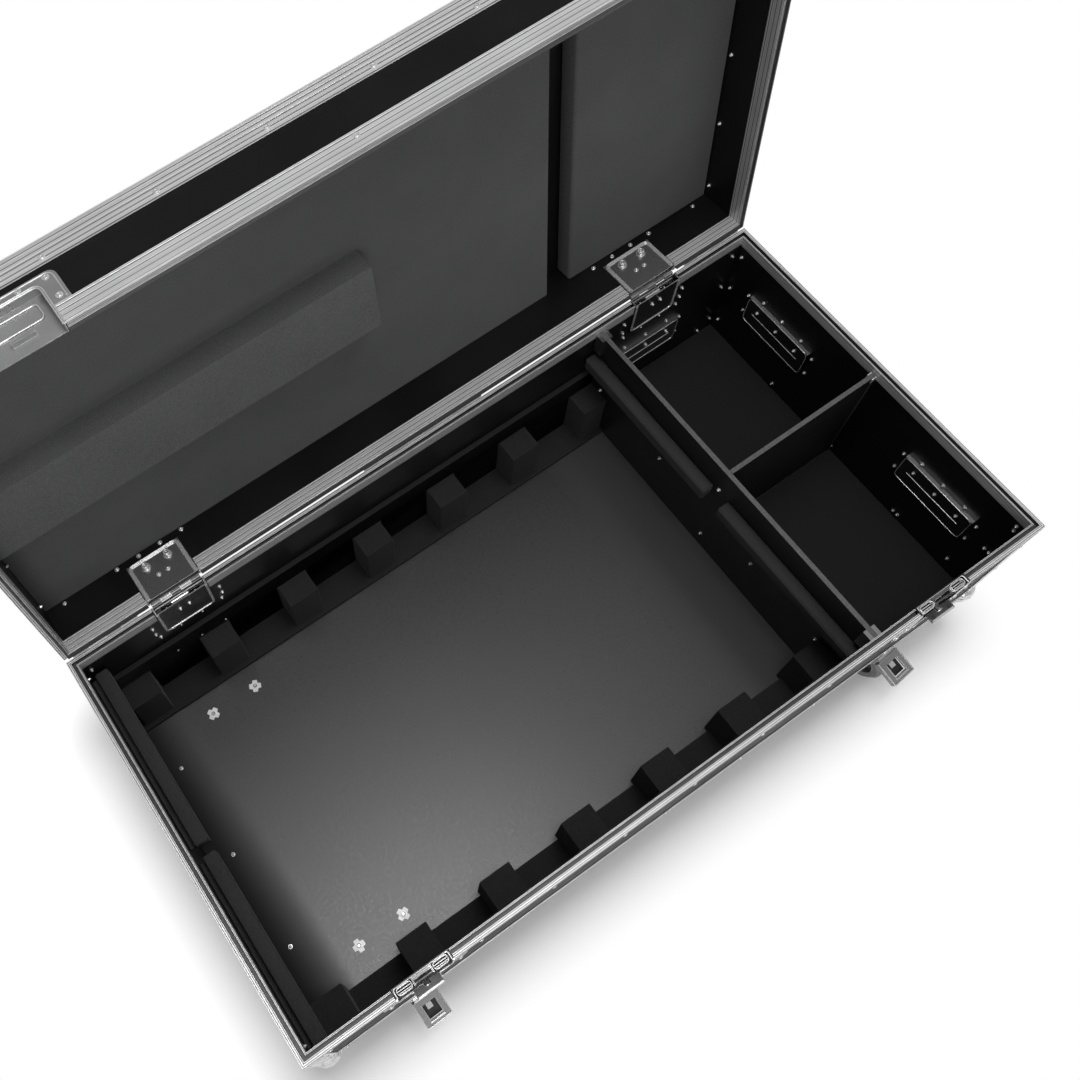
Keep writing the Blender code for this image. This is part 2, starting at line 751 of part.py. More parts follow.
def make_rim_dish(name, tray_height, flange_height, location, rotation, parent=None):
    """Half dish that opens outwards and at the closing line, below which it hangs."""
    neck = RIM_FLANGE_NECK
    half = RIM_FLANGE_HALF
    step = -RIM_OUTER_LEG - FIT
    gap = -FIT if parent else 0
    corners = [
        (-half, -flange_height),
        (half, -flange_height),
        (half, step),
        (neck, step),
        (neck, gap),
        (-neck, gap),
        (-neck, step),
        (-half, step),
    ]
    radii = [FLANGE_RADIUS, FLANGE_RADIUS, 0, 0, 0, 0, 0, 0]
    flange = stand_up(outline_mesh("flange", corners, radii, SKIN), -SKIN / 2)
    dish = add_part(name, flange, ZINC, location, rotation, parent)
    low = (-RIM_DISH_HALF, -RIM_DISH_DEPTH, -tray_height)
    high = (RIM_DISH_HALF, -SKIN / 2, gap)
    join(dish, box_mesh("tray", low, high))
    inner = RIM_DISH_HALF - SKIN
    low = (-inner, SKIN - RIM_DISH_DEPTH, SKIN - tray_height)
    cut(dish, box_mesh("hollow", low, (inner, OVERRUN, OVERRUN)))
    return dish


def make_hinge_half(dish, is_base):
    """Barrels on the hinge line: three with the pin on the base, two on the lid."""
    length = HINGE_KNUCKLE_LENGTH
    slots = (-2, 0, 2) if is_base else (-1, 1)
    rods = []
    webs = []
    for slot in slots:
        low = (slot - 0.5) * length + FIT
        high = (slot + 0.5) * length - FIT
        rods.append(((low, HINGE_OFFSET, 0), (high, HINGE_OFFSET, 0), KNUCKLE_RADIUS))
        webs.append(
            ((low + FIT, -SKIN, -KNUCKLE_WEB), (high - FIT, KNUCKLE_WEB_THICKNESS, -SKIN))
        )
    half = RIM_DISH_HALF
    bridge = ((-half, -SKIN, -KNUCKLE_WEB), (half, 0, -SKIN))
    join(dish, box_mesh("bridge", *bridge))
    join(dish, rods_mesh("barrels", rods, KNUCKLE_SIDES))
    join(dish, boxes_mesh("webs", webs))
    reach = (max(slots) + 0.5) * length - FIT * 2
    start = (-reach, HINGE_OFFSET, 0)
    end = (reach, HINGE_OFFSET, 0)
    if is_base:
        join(dish, rods_mesh("pin", [(start, end, HINGE_PIN_RADIUS)], KNUCKLE_SIDES))
    else:
        start = (-reach - OVERRUN, HINGE_OFFSET, 0)
        end = (reach + OVERRUN, HINGE_OFFSET, 0)
        cut(dish, rods_mesh("bore", [(start, end, HINGE_BORE_RADIUS)], KNUCKLE_SIDES))


def make_base_dishes():
    for side, x in (("left", -RIM_DISH_X), ("right", RIM_DISH_X)):
        front = (x, -HALF_DEPTH, BASE_HEIGHT)
        back = (x, HALF_DEPTH, BASE_HEIGHT)
        tall = RIM_DISH_HEIGHT
        flange = RIM_FLANGE_HEIGHT
        make_rim_dish("latch_dish_" + side, tall, flange, front, (0, 0, math.pi))
        hinge = make_rim_dish("hinge_base_" + side, tall, flange, back, (0, 0, 0))
        make_hinge_half(hinge, True)


def make_lid_dishes(pivot):
    for side, x in (("left", -RIM_DISH_X), ("right", RIM_DISH_X)):
        front = (x, -CASE_DEPTH - HINGE_OFFSET, 0)
        back = (x, -HINGE_OFFSET, 0)
        low = LID_DISH_HEIGHT
        flange = LID_FLANGE_HEIGHT
        turned = (0, math.pi, math.pi)
        keeper = make_rim_dish("keeper_" + side, low, flange, front, turned, pivot)
        catch_low = (-CATCH_HALF_WIDTH, SKIN / 2 - RIM_DISH_DEPTH, CATCH_LOW)
        catch_high = (CATCH_HALF_WIDTH, CATCH_FACE, CATCH_HIGH)
        join(keeper, box_mesh("catch", catch_low, catch_high))
        hinge = make_rim_dish("hinge_lid_" + side, low, flange, back, (0, math.pi, 0), pivot)
        make_hinge_half(hinge, False)


# Sprung handle grips
def make_grip(name, location, turn):
    """Bail on a pin line near the top of its dish, hanging down inside it."""
    x = GRIP_HALF_SPAN
    drop = GRIP_BAR_Z - GRIP_PIVOT_Z
    bar = rods_mesh(
        "bar", [((-GRIP_HALF_LENGTH, 0, drop), (GRIP_HALF_LENGTH, 0, drop), GRIP_RADIUS)], GRIP_SIDES
    )
    smooth(bar)
    pivot = Vector(location) + Matrix.Rotation(turn, 3, "Z") @ Vector(
        (0, -GRIP_RECESS, GRIP_PIVOT_Z)
    )
    grip = add_part(name, bar, GRIP, pivot, (0, 0, turn))
    radius = GRIP_ARM_RADIUS
    for sign in (-1, 1):
        corner = (sign * x, 0, drop)
        inner = (sign * (GRIP_HALF_LENGTH - OVERRUN), 0, drop)
        end = (sign * (x + radius), 0, drop)
        label = "_left" if sign < 0 else "_right"
        join(grip, rods_mesh("stub" + label, [(inner, end, radius)], GRIP_SIDES))
        top = (sign * x, 0, radius)
        low = (corner[0], 0, corner[2] - radius)
        join(grip, rods_mesh("arm" + label, [(low, top, radius * 0.99)], GRIP_SIDES))
        pin_start = (sign * (x - radius), 0, 0)
        pin_end = (sign * GRIP_PIN_REACH, 0, 0)
        join(grip, rods_mesh("pin" + label, [(pin_start, pin_end, radius * 0.8)], GRIP_SIDES))


def make_handles():
    ends = (("left", -HALF_LENGTH, math.pi / 2), ("right", HALF_LENGTH, -math.pi / 2))
    for side, x, turn in ends:
        for row, y in (("front", -SIDE_HANDLE_Y), ("back", SIDE_HANDLE_Y)):
            spot = (x, y, SIDE_HANDLE_Z)
            make_handle_dish("handle_dish_" + side + "_" + row, spot, turn)
            make_grip("handle_grip_" + side + "_" + row, spot, turn)
    for side, x in (("left", -RIM_DISH_X), ("right", RIM_DISH_X)):
        make_grip("handle_grip_back_" + side, (x, HALF_DEPTH, BACK_HANDLE_Z), 0)


# Twist latches
def make_latches():
    for side, x in (("left", -RIM_DISH_X), ("right", RIM_DISH_X)):
        wing_spot = (x, -HALF_DEPTH, BASE_HEIGHT + LATCH_AXIS_Z)
        start = (0, -SPINDLE_INNER, 0)
        end = (0, SPINDLE_OUTER, 0)
        spindle = rods_mesh("spindle", [(start, end, SPINDLE_RADIUS)], GRIP_SIDES)
        smooth(spindle)
        wing = add_part("latch_wing_" + side, spindle, ZINC, wing_spot, (0, 0, math.pi))
        low = (-WING_HALF_LENGTH, WING_START, -WING_THICKNESS / 2)
        high = (WING_HALF_LENGTH, WING_REACH, WING_THICKNESS / 2)
        join(wing, box_mesh("blade", low, high))
        hook_spot = (x, -HALF_DEPTH, BASE_HEIGHT)
        low = (-HOOK_HALF_WIDTH, HOOK_BACK, HOOK_BOTTOM)
        high = (HOOK_HALF_WIDTH, HOOK_FACE, HOOK_TOP)
        plate = box_mesh("plate", low, high)
        hook = add_part("latch_hook_" + side, plate, ZINC, hook_spot, (0, 0, math.pi))
        low = (-HOOK_HALF_WIDTH + FIT, HOOK_LIP_BACK, HOOK_TOP - HOOK_LIP_HEIGHT)
        high = (HOOK_HALF_WIDTH - FIT, HOOK_FACE - FIT, HOOK_TOP - FIT)
        join(hook, box_mesh("lip", low, high))


# Castors
def wheel_mesh():
    """Turned wheel section as a closed loop of (radius, offset along the axle)."""
    tread = WHEEL_HALF_WIDTH - WHEEL_TREAD_ROUND
    shoulder = WHEEL_RADIUS - WHEEL_TREAD_ROUND
    top = [
        (WHEEL_BORE_RADIUS, WHEEL_HUB_HALF),
        (WHEEL_HUB_RADIUS, WHEEL_HUB_HALF),
        (WHEEL_HUB_RADIUS, WHEEL_WEB_HALF),
        (WHEEL_RIM_RADIUS, WHEEL_WEB_HALF),
        (WHEEL_RIM_RADIUS, WHEEL_HALF_WIDTH),
        (shoulder, WHEEL_HALF_WIDTH),
        (WHEEL_RADIUS, tread),
    ]
    loop = top + [(radius, -offset) for radius, offset in reversed(top)]
    mesh = bpy.data.meshes.new("wheel_section")
    work = bmesh.new()
    verts = [work.verts.new((radius, 0, offset)) for radius, offset in loop]
    for first, second in zip(verts, verts[1:] + verts[:1]):
        work.edges.new((first, second))
    work.to_mesh(mesh)
    work.free()
    return mesh


def leg_mesh(side):
    """One fork plate, outlined in the plane of the wheel."""
    y = -CASTOR_TRAIL
    half = FORK_END_HALF
    chamfer = FORK_END_CHAMFER
    corners = [
        (FORK_FRONT, CASTOR_HEAD_BOTTOM),
        (FORK_FRONT, FORK_HEEL),
        (y + half, AXLE_Z + chamfer),
        (y + half, FORK_TOE),
        (y - half, FORK_TOE),
        (y - half, AXLE_Z + chamfer),
        (FORK_BACK, FORK_SHOULDER),
        (FORK_BACK, CASTOR_HEAD_BOTTOM),
    ]
    radii = [0, 0, 0, chamfer, chamfer, 0, chamfer, 0]
    mesh = outline_mesh("leg", corners, radii, FORK_PLATE)
    stand = Matrix(((0, 0, 1, 0), (1, 0, 0, 0), (0, 1, 0, 0), (0, 0, 0, 1)))
    shift = Matrix.Translation((side * (FORK_INNER + FORK_PLATE / 2), 0, 0))
    mesh.transform(shift @ stand)
    mesh.name = "leg_left" if side < 0 else "leg_right"
    return mesh


def make_castor(name, location, turn, braked):
    top = -CASTOR_PLATE_THICKNESS - FIT
    root = CASTOR_HEAD_BOTTOM - CROWN_THICKNESS / 2
    head = rods_mesh("head", [((0, 0, root), (0, 0, top), CASTOR_HEAD_RADIUS)], WHEEL_STEPS)
    smooth(head)
    fork = add_part("castor_fork_" + name, head, ZINC, location, (0, 0, turn))
    outer = FORK_INNER + FORK_PLATE / 2
    crown_low = (-outer, FORK_BACK + CROWN_THICKNESS, CASTOR_HEAD_BOTTOM - CROWN_THICKNESS)
    crown_high = (outer, FORK_FRONT - FIT, CASTOR_HEAD_BOTTOM - FIT)
    join(fork, box_mesh("crown", crown_low, crown_high))
    join(fork, leg_mesh(-1))
    join(fork, leg_mesh(1))
    start = (-AXLE_HALF_LENGTH, -CASTOR_TRAIL, AXLE_Z)
    end = (AXLE_HALF_LENGTH, -CASTOR_TRAIL, AXLE_Z)
    join(fork, rods_mesh("axle", [(start, end, AXLE_RADIUS)], GRIP_SIDES))
    spin = Matrix.Rotation(turn, 3, "Z")
    centre = Vector(location) + spin @ Vector((0, -CASTOR_TRAIL, AXLE_Z))
    wheel = add_part("castor_wheel_" + name, wheel_mesh(), TYRE, centre, (0, math.pi / 2, turn))
    screw = wheel.modifiers.new("turned", "SCREW")
    screw.steps = WHEEL_STEPS
    screw.render_steps = WHEEL_STEPS
    screw.use_merge_vertices = True
    screw.merge_threshold = FIT / 10
    screw.use_normal_calculate = True
    if braked:
        make_pedal(name, Vector(location), turn)


def make_pedal(name, location, turn):
    """Stamped brake pedal on a cross pin at the fork's outer end."""
    spin = Matrix.Rotation(turn, 3, "Z")
    spot = location + spin @ Vector((0, PEDAL_PIVOT_Y, PEDAL_PIVOT_Z))
    half = PEDAL_HALF_WIDTH
    thick = PEDAL_THICKNESS
    flange = PEDAL_FLANGE
    plate = box_mesh("plate", (-half, PEDAL_END, -flange), (half, PEDAL_START, thick))
    slope = Matrix.Rotation(PEDAL_SLOPE, 4, "X")
    plate.transform(slope)
    pedal = add_part("brake_pedal_" + name, plate, ZINC, spot, (0, 0, turn))
    inner = half - thick
    hollow_low = (-inner, PEDAL_END + thick, -flange - OVERRUN)
    hollow = box_mesh("hollow", hollow_low, (inner, PEDAL_START - thick, 0))
    hollow.transform(slope)
    cut(pedal, hollow)
    window_low = (-PEDAL_WINDOW_HALF, PEDAL_WINDOW_END, -OVERRUN)
    window = box_mesh("window", window_low, (PEDAL_WINDOW_HALF, PEDAL_WINDOW_START, thick * 2))
    window.transform(slope)
    cut(pedal, window)
    tongue_low = (-PEDAL_TONGUE_HALF, PEDAL_START - thick / 2, -thick)
    tongue = box_mesh("tongue", tongue_low, (PEDAL_TONGUE_HALF, PEDAL_TONGUE_BACK, thick / 2))
    join(pedal, tongue)
    start = (-PEDAL_PIN_HALF, 0, 0)
    end = (PEDAL_PIN_HALF, 0, 0)
    join(pedal, rods_mesh("pin", [(start, end, PEDAL_PIN_RADIUS)], GRIP_SIDES))


def make_castors():
    make_castor("front_left", (-CASTOR_X, -CASTOR_Y, 0), LEFT_CASTOR_TURN, True)
    make_castor("front_right", (CASTOR_X, -CASTOR_Y, 0), RIGHT_CASTOR_TURN, True)
    make_castor("back_left", (-CASTOR_X, CASTOR_Y, 0), BACK_CASTOR_TURN, False)
    make_castor("back_right", (CASTOR_X, CASTOR_Y, 0), BACK_CASTOR_TURN, False)


# Inside fittings
def make_divider():
    """Board across the case with its wall channels, and the partition beside it."""
    top = BASE_HEIGHT - PARTITION_TOP
    right = DIVIDER_LEFT + DIVIDER_THICKNESS
    y = HALF_DEPTH - RIM_WIDTH - FIT
    board = box_mesh("board", (DIVIDER_LEFT, -y, FLOOR_TOP), (right, y, top))
    divider = add_part("divider", board, LAMINATE)
    middle = DIVIDER_LEFT + DIVIDER_THICKNESS / 2
    channels = []
    for near, far in ((-y, CHANNEL_DEPTH - y), (y - CHANNEL_DEPTH, y)):
        low = (middle - CHANNEL_HALF_WIDTH, near, top - CHANNEL_HEIGHT)
        channels.append((low, (middle + CHANNEL_HALF_WIDTH, far, top)))
    join(divider, boxes_mesh("channels", channels))
    start = right + FIT
    low = (start, 0, FLOOR_TOP)
    high = (HALF_LENGTH - RIM_WIDTH - FIT, PARTITION_THICKNESS, top)
    add_part("cross_partition", box_mesh("board", low, high), LAMINATE)


def make_cradle(name, side):
    """Comb of upright foam teeth on a ledge against one long wall."""
    y = INNER_Y - FIT
    left = -INNER_X + FIT
    right = DIVIDER_LEFT - FIT

    def span(inner, outer, low_x, high_x, low_z, high_z):
        ys = sorted((side * inner, side * outer))
        return (low_x, ys[0], low_z), (high_x, ys[1], high_z)

    board = box_mesh("board", *span(y - CRADLE_BOARD, y, left, right, FLOOR_TOP, CRADLE_TOP))
    cradle = add_part(name, board, FOAM)
    ledge = span(
        y - CRADLE_LEDGE_DEPTH, y - OVERRUN, left + FIT, right - FIT, FLOOR_TOP + FIT, CRADLE_LEDGE_TOP
    )
    join(cradle, box_mesh("ledge", *ledge))
    teeth = bpy.data.meshes.new("teeth")
    work = bmesh.new()
    pitch = (right - CRADLE_LAST_TOOTH_WIDTH - CRADLE_FIRST_TOOTH) / (CRADLE_TEETH - 1)
    for index in range(CRADLE_TEETH):
        start = CRADLE_FIRST_TOOTH + index * pitch
        finish = min(start + CRADLE_TOOTH_WIDTH, right - FIT)
        low, high = span(
            y - CRADLE_TOOTH_DEPTH, y - OVERRUN, start, finish, FLOOR_TOP + OVERRUN, CRADLE_TOOTH_TOP
        )
        verts = box_into(work, low, high)
        tops = [
            edge
            for edge in work.edges
            if all(vert in verts and vert.co.z == high[2] for vert in edge.verts)
            and abs(edge.verts[0].co.x - edge.verts[1].co.x) < FIT
        ]
        bmesh.ops.bevel(
            work, geom=tops, offset=TOOTH_ROUND, segments=CORNER_STEPS, affect="EDGES", profile=0.5
        )
    work.to_mesh(teeth)
    work.free()
    join(cradle, teeth)
    if side > 0:
        low, high = handle_tray_box(Vector((-RIM_DISH_X, HALF_DEPTH, BACK_HANDLE_Z)))
        gap = Vector((FIT, FIT, FIT))
        cut(cradle, box_mesh("handle_recess", low - gap, high + gap))


def make_pad(name, x_low, x_high, ends, top, foot):
    mesh = box_mesh("bar", (x_low, ends[0], top - PAD_HEIGHT), (x_high, ends[1], top))
    pad = add_part(name, mesh, FOAM)
    round_edges(pad, PAD_ROUND, 2)
    if foot:
        inset = PAD_ROUND + FIT
        low = (x_low - PAD_STANDOFF + FIT, ends[0] + inset, top - PAD_HEIGHT + inset)
        high = (x_low + inset, ends[1] - inset, top - PAD_HEIGHT + PAD_FOOT_HEIGHT)
        join(pad, box_mesh("foot", low, high))


def make_pads():
    left_low = -INNER_X + PAD_STANDOFF
    left_top = BASE_HEIGHT - LEFT_PAD_TOP
    far = HALF_DEPTH - LEFT_PAD_FROM_SIDE
    for row, ends in (("front", (-far, LEFT_PAD_GAP[0])), ("back", (LEFT_PAD_GAP[1], far))):
        make_pad("pad_left_" + row, left_low, left_low + PAD_WIDTH, ends, left_top, True)
    right_high = DIVIDER_LEFT - FIT
    right_top = BASE_HEIGHT - RIGHT_PAD_TOP
    far = HALF_DEPTH - RIGHT_PAD_FROM_SIDE
    for row, ends in (("front", (-far, RIGHT_PAD_GAP[0])), ("back", (RIGHT_PAD_GAP[1], far))):
        make_pad("pad_right_" + row, right_high - PAD_WIDTH, right_high, ends, right_top, False)


# Lid
def make_lid_shell(pivot):
    shift = Vector((0, -HALF_DEPTH - HINGE_OFFSET, 0))
    corner = Vector((PANEL_X, PANEL_Y, 0))
    low = shift - corner + Vector((0, 0, LID_PANEL_BOTTOM))
    high = shift + corner + Vector((0, 0, LID_PANEL_TOP))
    add_part("lid_top_panel", box_mesh("board", low, high), LAMINATE, parent=pivot)
    low = shift - corner + Vector((0, 0, PANEL_TOP_DROP))
    high = shift + corner + Vector((0, 0, LID_PANEL_BOTTOM - FIT))
    frame = add_part("lid_wall_frame", box_mesh("walls", low, high), LAMINATE, parent=pivot)
    inner = Vector((INNER_X, INNER_Y, 0))
    low = shift - inner
    high = shift + inner + Vector((0, 0, LID_HEIGHT))
    cut(frame, box_mesh("hollow", low, high))
    half = RIM_DISH_HALF + FIT
    depth = RIM_DISH_DEPTH + OVERRUN
    notches = []
    for x in (-RIM_DISH_X, RIM_DISH_X):
        for near, far in ((-HALF_DEPTH, depth - HALF_DEPTH), (HALF_DEPTH - depth, HALF_DEPTH)):
            low = shift + Vector((x - half, near, 0))
            high = shift + Vector((x + half, far, LID_DISH_HEIGHT + FIT))
            notches.append((low, high))
    cut(frame, boxes_mesh("dish_notches", notches))


def make_lid_foam(pivot):
    y = -HALF_DEPTH - HINGE_OFFSET
    edge_y = INNER_Y - FIT
    edge_x = INNER_X - FIT
    top = LID_PANEL_BOTTOM - FIT * 2
    low = (-edge_x, y - edge_y, LID_FOAM_FACE)
    sheet = box_mesh("sheet", low, (FOAM_LEFT_END, y + edge_y, top))
    left = add_part("lid_foam_left", sheet, FOAM, parent=pivot)
    bar_low = (-edge_x + FIT, y + FOAM_BAR_FRONT, FOAM_BAR_FACE)
    bar_high = (FOAM_BAR_END, y + FOAM_BAR_BACK, LID_FOAM_FACE + OVERRUN)
    join(left, box_mesh("bar", bar_low, bar_high))
    low = (FOAM_RIGHT_START, y - edge_y, LID_FOAM_FACE)
    sheet = box_mesh("sheet", low, (edge_x, y + edge_y, top))
    right = add_part("lid_foam_right", sheet, FOAM, parent=pivot)
    round_edges(right, FOAM_ROUND, 2)


def make_lid():
    pivot = bpy.data.objects.new("lid_pivot", None)
    COLLECTION.objects.link(pivot)
    pivot.location = (0, HALF_DEPTH + HINGE_OFFSET, BASE_HEIGHT)
    pivot.rotation_euler = (-LID_OPEN_ANGLE, 0, 0)
    make_lid_shell(pivot)
    make_lid_rims(pivot)
    low = RIM_OUTER_LEG + FIT
    shift = -HALF_DEPTH - HINGE_OFFSET
    make_edging("lid_edging", low, LID_HEIGHT, LID_HEIGHT, LID_EDGE_LEG, LID_EDGE_LEG, pivot, shift)
    make_lid_dishes(pivot)
    make_lid_foam(pivot)


def main():
    global COLLECTION, CUTTERS
    clear_scene()
    COLLECTION = make_collection("lighting_flight_case")
    CUTTERS = make_collection("cutters")
    make_floor_panel()
    make_long_panels()
    make_end_panels()
    make_base_rims()
    under = -SKIN - FIT
    make_edging("base_edging", under, EDGE_TOP, under, BASE_EDGE_LEG, UNDER_EDGE_LEG, None, 0)
    make_base_dishes()
    make_handles()
    make_latches()
    make_castors()
    make_divider()
    make_cradle("cradle_front", -1)
    make_cradle("cradle_back", 1)
    make_pads()
    make_lid()


main()
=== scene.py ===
"""Looks of a wheeled touring case for stage lights, shown open on a pale floor.

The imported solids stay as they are.  This script gives them their finishes, puts cut foam in
place of the plain foam solids, and adds rivets, ribs, nuts, bolts and small fittings, the floor,
the lamps and the camera.  Metres, +Z up, front towards -Y.
"""

import json
import logging
import math
from dataclasses import dataclass, field
from enum import Enum
from typing import Iterable, Sequence

import bmesh
import bpy
from mathutils import Matrix, Vector


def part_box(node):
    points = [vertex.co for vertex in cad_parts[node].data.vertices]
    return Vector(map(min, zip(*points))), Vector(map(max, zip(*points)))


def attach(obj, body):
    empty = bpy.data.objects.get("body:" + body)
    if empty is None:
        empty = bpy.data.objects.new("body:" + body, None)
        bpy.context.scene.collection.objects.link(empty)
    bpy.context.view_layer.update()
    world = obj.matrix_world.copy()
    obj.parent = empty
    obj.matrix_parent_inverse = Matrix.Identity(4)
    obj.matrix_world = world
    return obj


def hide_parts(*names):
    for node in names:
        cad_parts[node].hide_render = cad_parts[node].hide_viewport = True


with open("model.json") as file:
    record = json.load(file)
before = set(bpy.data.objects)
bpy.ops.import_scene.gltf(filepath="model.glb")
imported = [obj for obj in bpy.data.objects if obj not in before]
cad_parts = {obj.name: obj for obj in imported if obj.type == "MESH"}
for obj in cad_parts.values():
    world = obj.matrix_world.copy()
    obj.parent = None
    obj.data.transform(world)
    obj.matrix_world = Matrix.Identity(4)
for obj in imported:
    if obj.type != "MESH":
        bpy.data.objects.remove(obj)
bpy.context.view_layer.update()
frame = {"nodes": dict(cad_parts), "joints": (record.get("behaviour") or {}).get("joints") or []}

LOG = logging.getLogger("case")

Point = tuple[float, float, float]
Spot = tuple[float, float]
Block = tuple[Point, Point]
Colour = tuple[float, float, float, float]
Socket = bpy.types.NodeSocket
Tree = bpy.types.NodeTree
Material = bpy.types.Material
Mesh = bpy.types.Mesh
Work = bmesh.types.BMesh

SIDES = (-1, 1)
NAMED_SIDES = ((-1, "left"), (1, "right"))
ORIGIN = (0.0, 0.0, 0.0)
WHITE = (1.0, 1.0, 1.0, 1.0)


# The case's own sizes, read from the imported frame

def middle(node: str, axis: int) -> float:
    """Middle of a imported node's box along one axis."""
    low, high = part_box(node)
    return (low[axis] + high[axis]) / 2


@dataclass(frozen=True)
class CaseFrame:
    """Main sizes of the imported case.

    Attributes:
        half_length: From the middle to the outer face of an end.
        half_depth: From the middle to the outer face of the front.
        rim: Height of the plane where lid and base meet.
        wall: Thickness of a side panel.
        skin: How far an edge angle or rim stands proud of a panel.
        lid_top: Outer height of the lid above the closing plane.
        dish_x: Middle of the latch and hinge dishes, either side.
        handle_y: Middle of the end handles, front and back.
        handle_z: Height of the end handles.
        back_handle_z: Height of the back handles.
    """

    half_length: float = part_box("base_rim_right")[1].x
    half_depth: float = -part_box("base_rim_front")[0].y
    rim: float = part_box("base_rim_front")[1].z
    wall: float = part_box("front_panel")[1].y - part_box("front_panel")[0].y
    skin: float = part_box("front_panel")[0].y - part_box("base_rim_front")[0].y
    lid_top: float = 0.118
    dish_x: float = middle("latch_dish_right", 0)
    handle_y: float = middle("handle_dish_right_back", 1)
    handle_z: float = middle("handle_dish_right_back", 2)
    back_handle_z: float = middle("handle_grip_back_left", 2)

    @property
    def inner_length(self) -> float:
        """Half of the clear length between the end panels."""
        return self.half_length - self.skin - self.wall

    @property
    def inner_depth(self) -> float:
        """Half of the clear depth between the front and back panels."""
        return self.half_depth - self.skin - self.wall

    @property
    def plan(self) -> Point:
        """Half sizes of the case seen from above, with no bound on the height."""
        return (self.half_length, self.half_depth, 1.0)


@dataclass(frozen=True)
class LidSpace:
    """The lid's turn between shut, where its sizes are read, and open, where it is shown.

    Attributes:
        pivot: A point on the hinge line.
        angle: How far the lid is open, in radians.
    """

    pivot: Vector
    angle: float

    @classmethod
    def from_frame(cls) -> "LidSpace":
        """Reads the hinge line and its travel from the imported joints."""
        hinge = next(joint for joint in frame["joints"] if joint["name"] == "lid_hinge")
        return cls(Vector(hinge["pos_m"]), math.radians(hinge["range_deg"][1]))

    def open_matrix(self) -> Matrix:
        """Matrix that takes a point of the shut lid to its open place."""
        turn = Matrix.Rotation(-self.angle, 4, "X")
        return Matrix.Translation(self.pivot) @ turn @ Matrix.Translation(-self.pivot)

    def shut_rotation(self) -> Point:
        """Rotation that brings the open lid's directions back to the shut lid's."""
        return (self.angle, 0.0, 0.0)

    def shut_shift(self) -> Vector:
        """Shift that goes with shut_rotation, for a pattern laid on the shut lid."""
        return self.pivot - Matrix.Rotation(self.angle, 3, "X") @ self.pivot


CASE = CaseFrame()
LID = LidSpace.from_frame()


class Space(Enum):
    """Which half of the case a pattern or a piece belongs to; the value names its body."""

    BASE = "base"
    LID = "lid"

    def place(self, point: Sequence[float]) -> Vector:
        """Place of a point that is given on the shut case."""
        return LID.open_matrix() @ Vector(point) if self is Space.LID else Vector(point)

    def aim(self, direction: Sequence[float]) -> Vector:
        """Direction of a normal that is given on the shut case."""
        turn = LID.open_matrix().to_3x3() if self is Space.LID else Matrix.Identity(3)
        return turn @ Vector(direction)


@dataclass(frozen=True)
class Wall:
    """One upright wall of the case, given by the axis that it faces.

    Attributes:
        on_end: Whether it faces along the length, as the two ends do.
        side: -1 for the front and the left end, 1 for the back and the right end.
    """

    on_end: bool
    side: int

    @property
    def span(self) -> float:
        """Half of the wall's own length."""
        return CASE.half_depth if self.on_end else CASE.half_length

    @property
    def outer(self) -> float:
        """From the case's middle to the wall's outer face."""
        return CASE.half_length if self.on_end else CASE.half_depth

    @property
    def inner(self) -> float:
        """From the case's middle to the wall's inner face."""
        return CASE.inner_length if self.on_end else CASE.inner_depth

    def place(self, distance: float, along: float, level: float) -> Point:
        """Point at a distance from the case's middle, a place along the wall and a height."""
        reach = self.side * distance
        return (reach, along, level) if self.on_end else (along, reach, level)

    def facing(self, way: int) -> Point:
        """Direction out of the wall for 1, into the case for -1."""
        return (way * self.side, 0.0, 0.0) if self.on_end else (0.0, way * self.side, 0.0)

    def head(self, points: "PointSet", along: float, level: float) -> None:
        """Adds a point on the outer face that looks outwards."""
        points.add(self.place(self.outer, along, level), self.facing(1))

    def tail(self, points: "PointSet", along: float, level: float, distance: float = 0.0) -> None:
        """Adds a point that looks inwards, on the inner face or at another distance."""
        points.add(self.place(distance or self.inner, along, level), self.facing(-1))


FRONT = Wall(False, -1)
BACK = Wall(False, 1)


# Node tree helpers

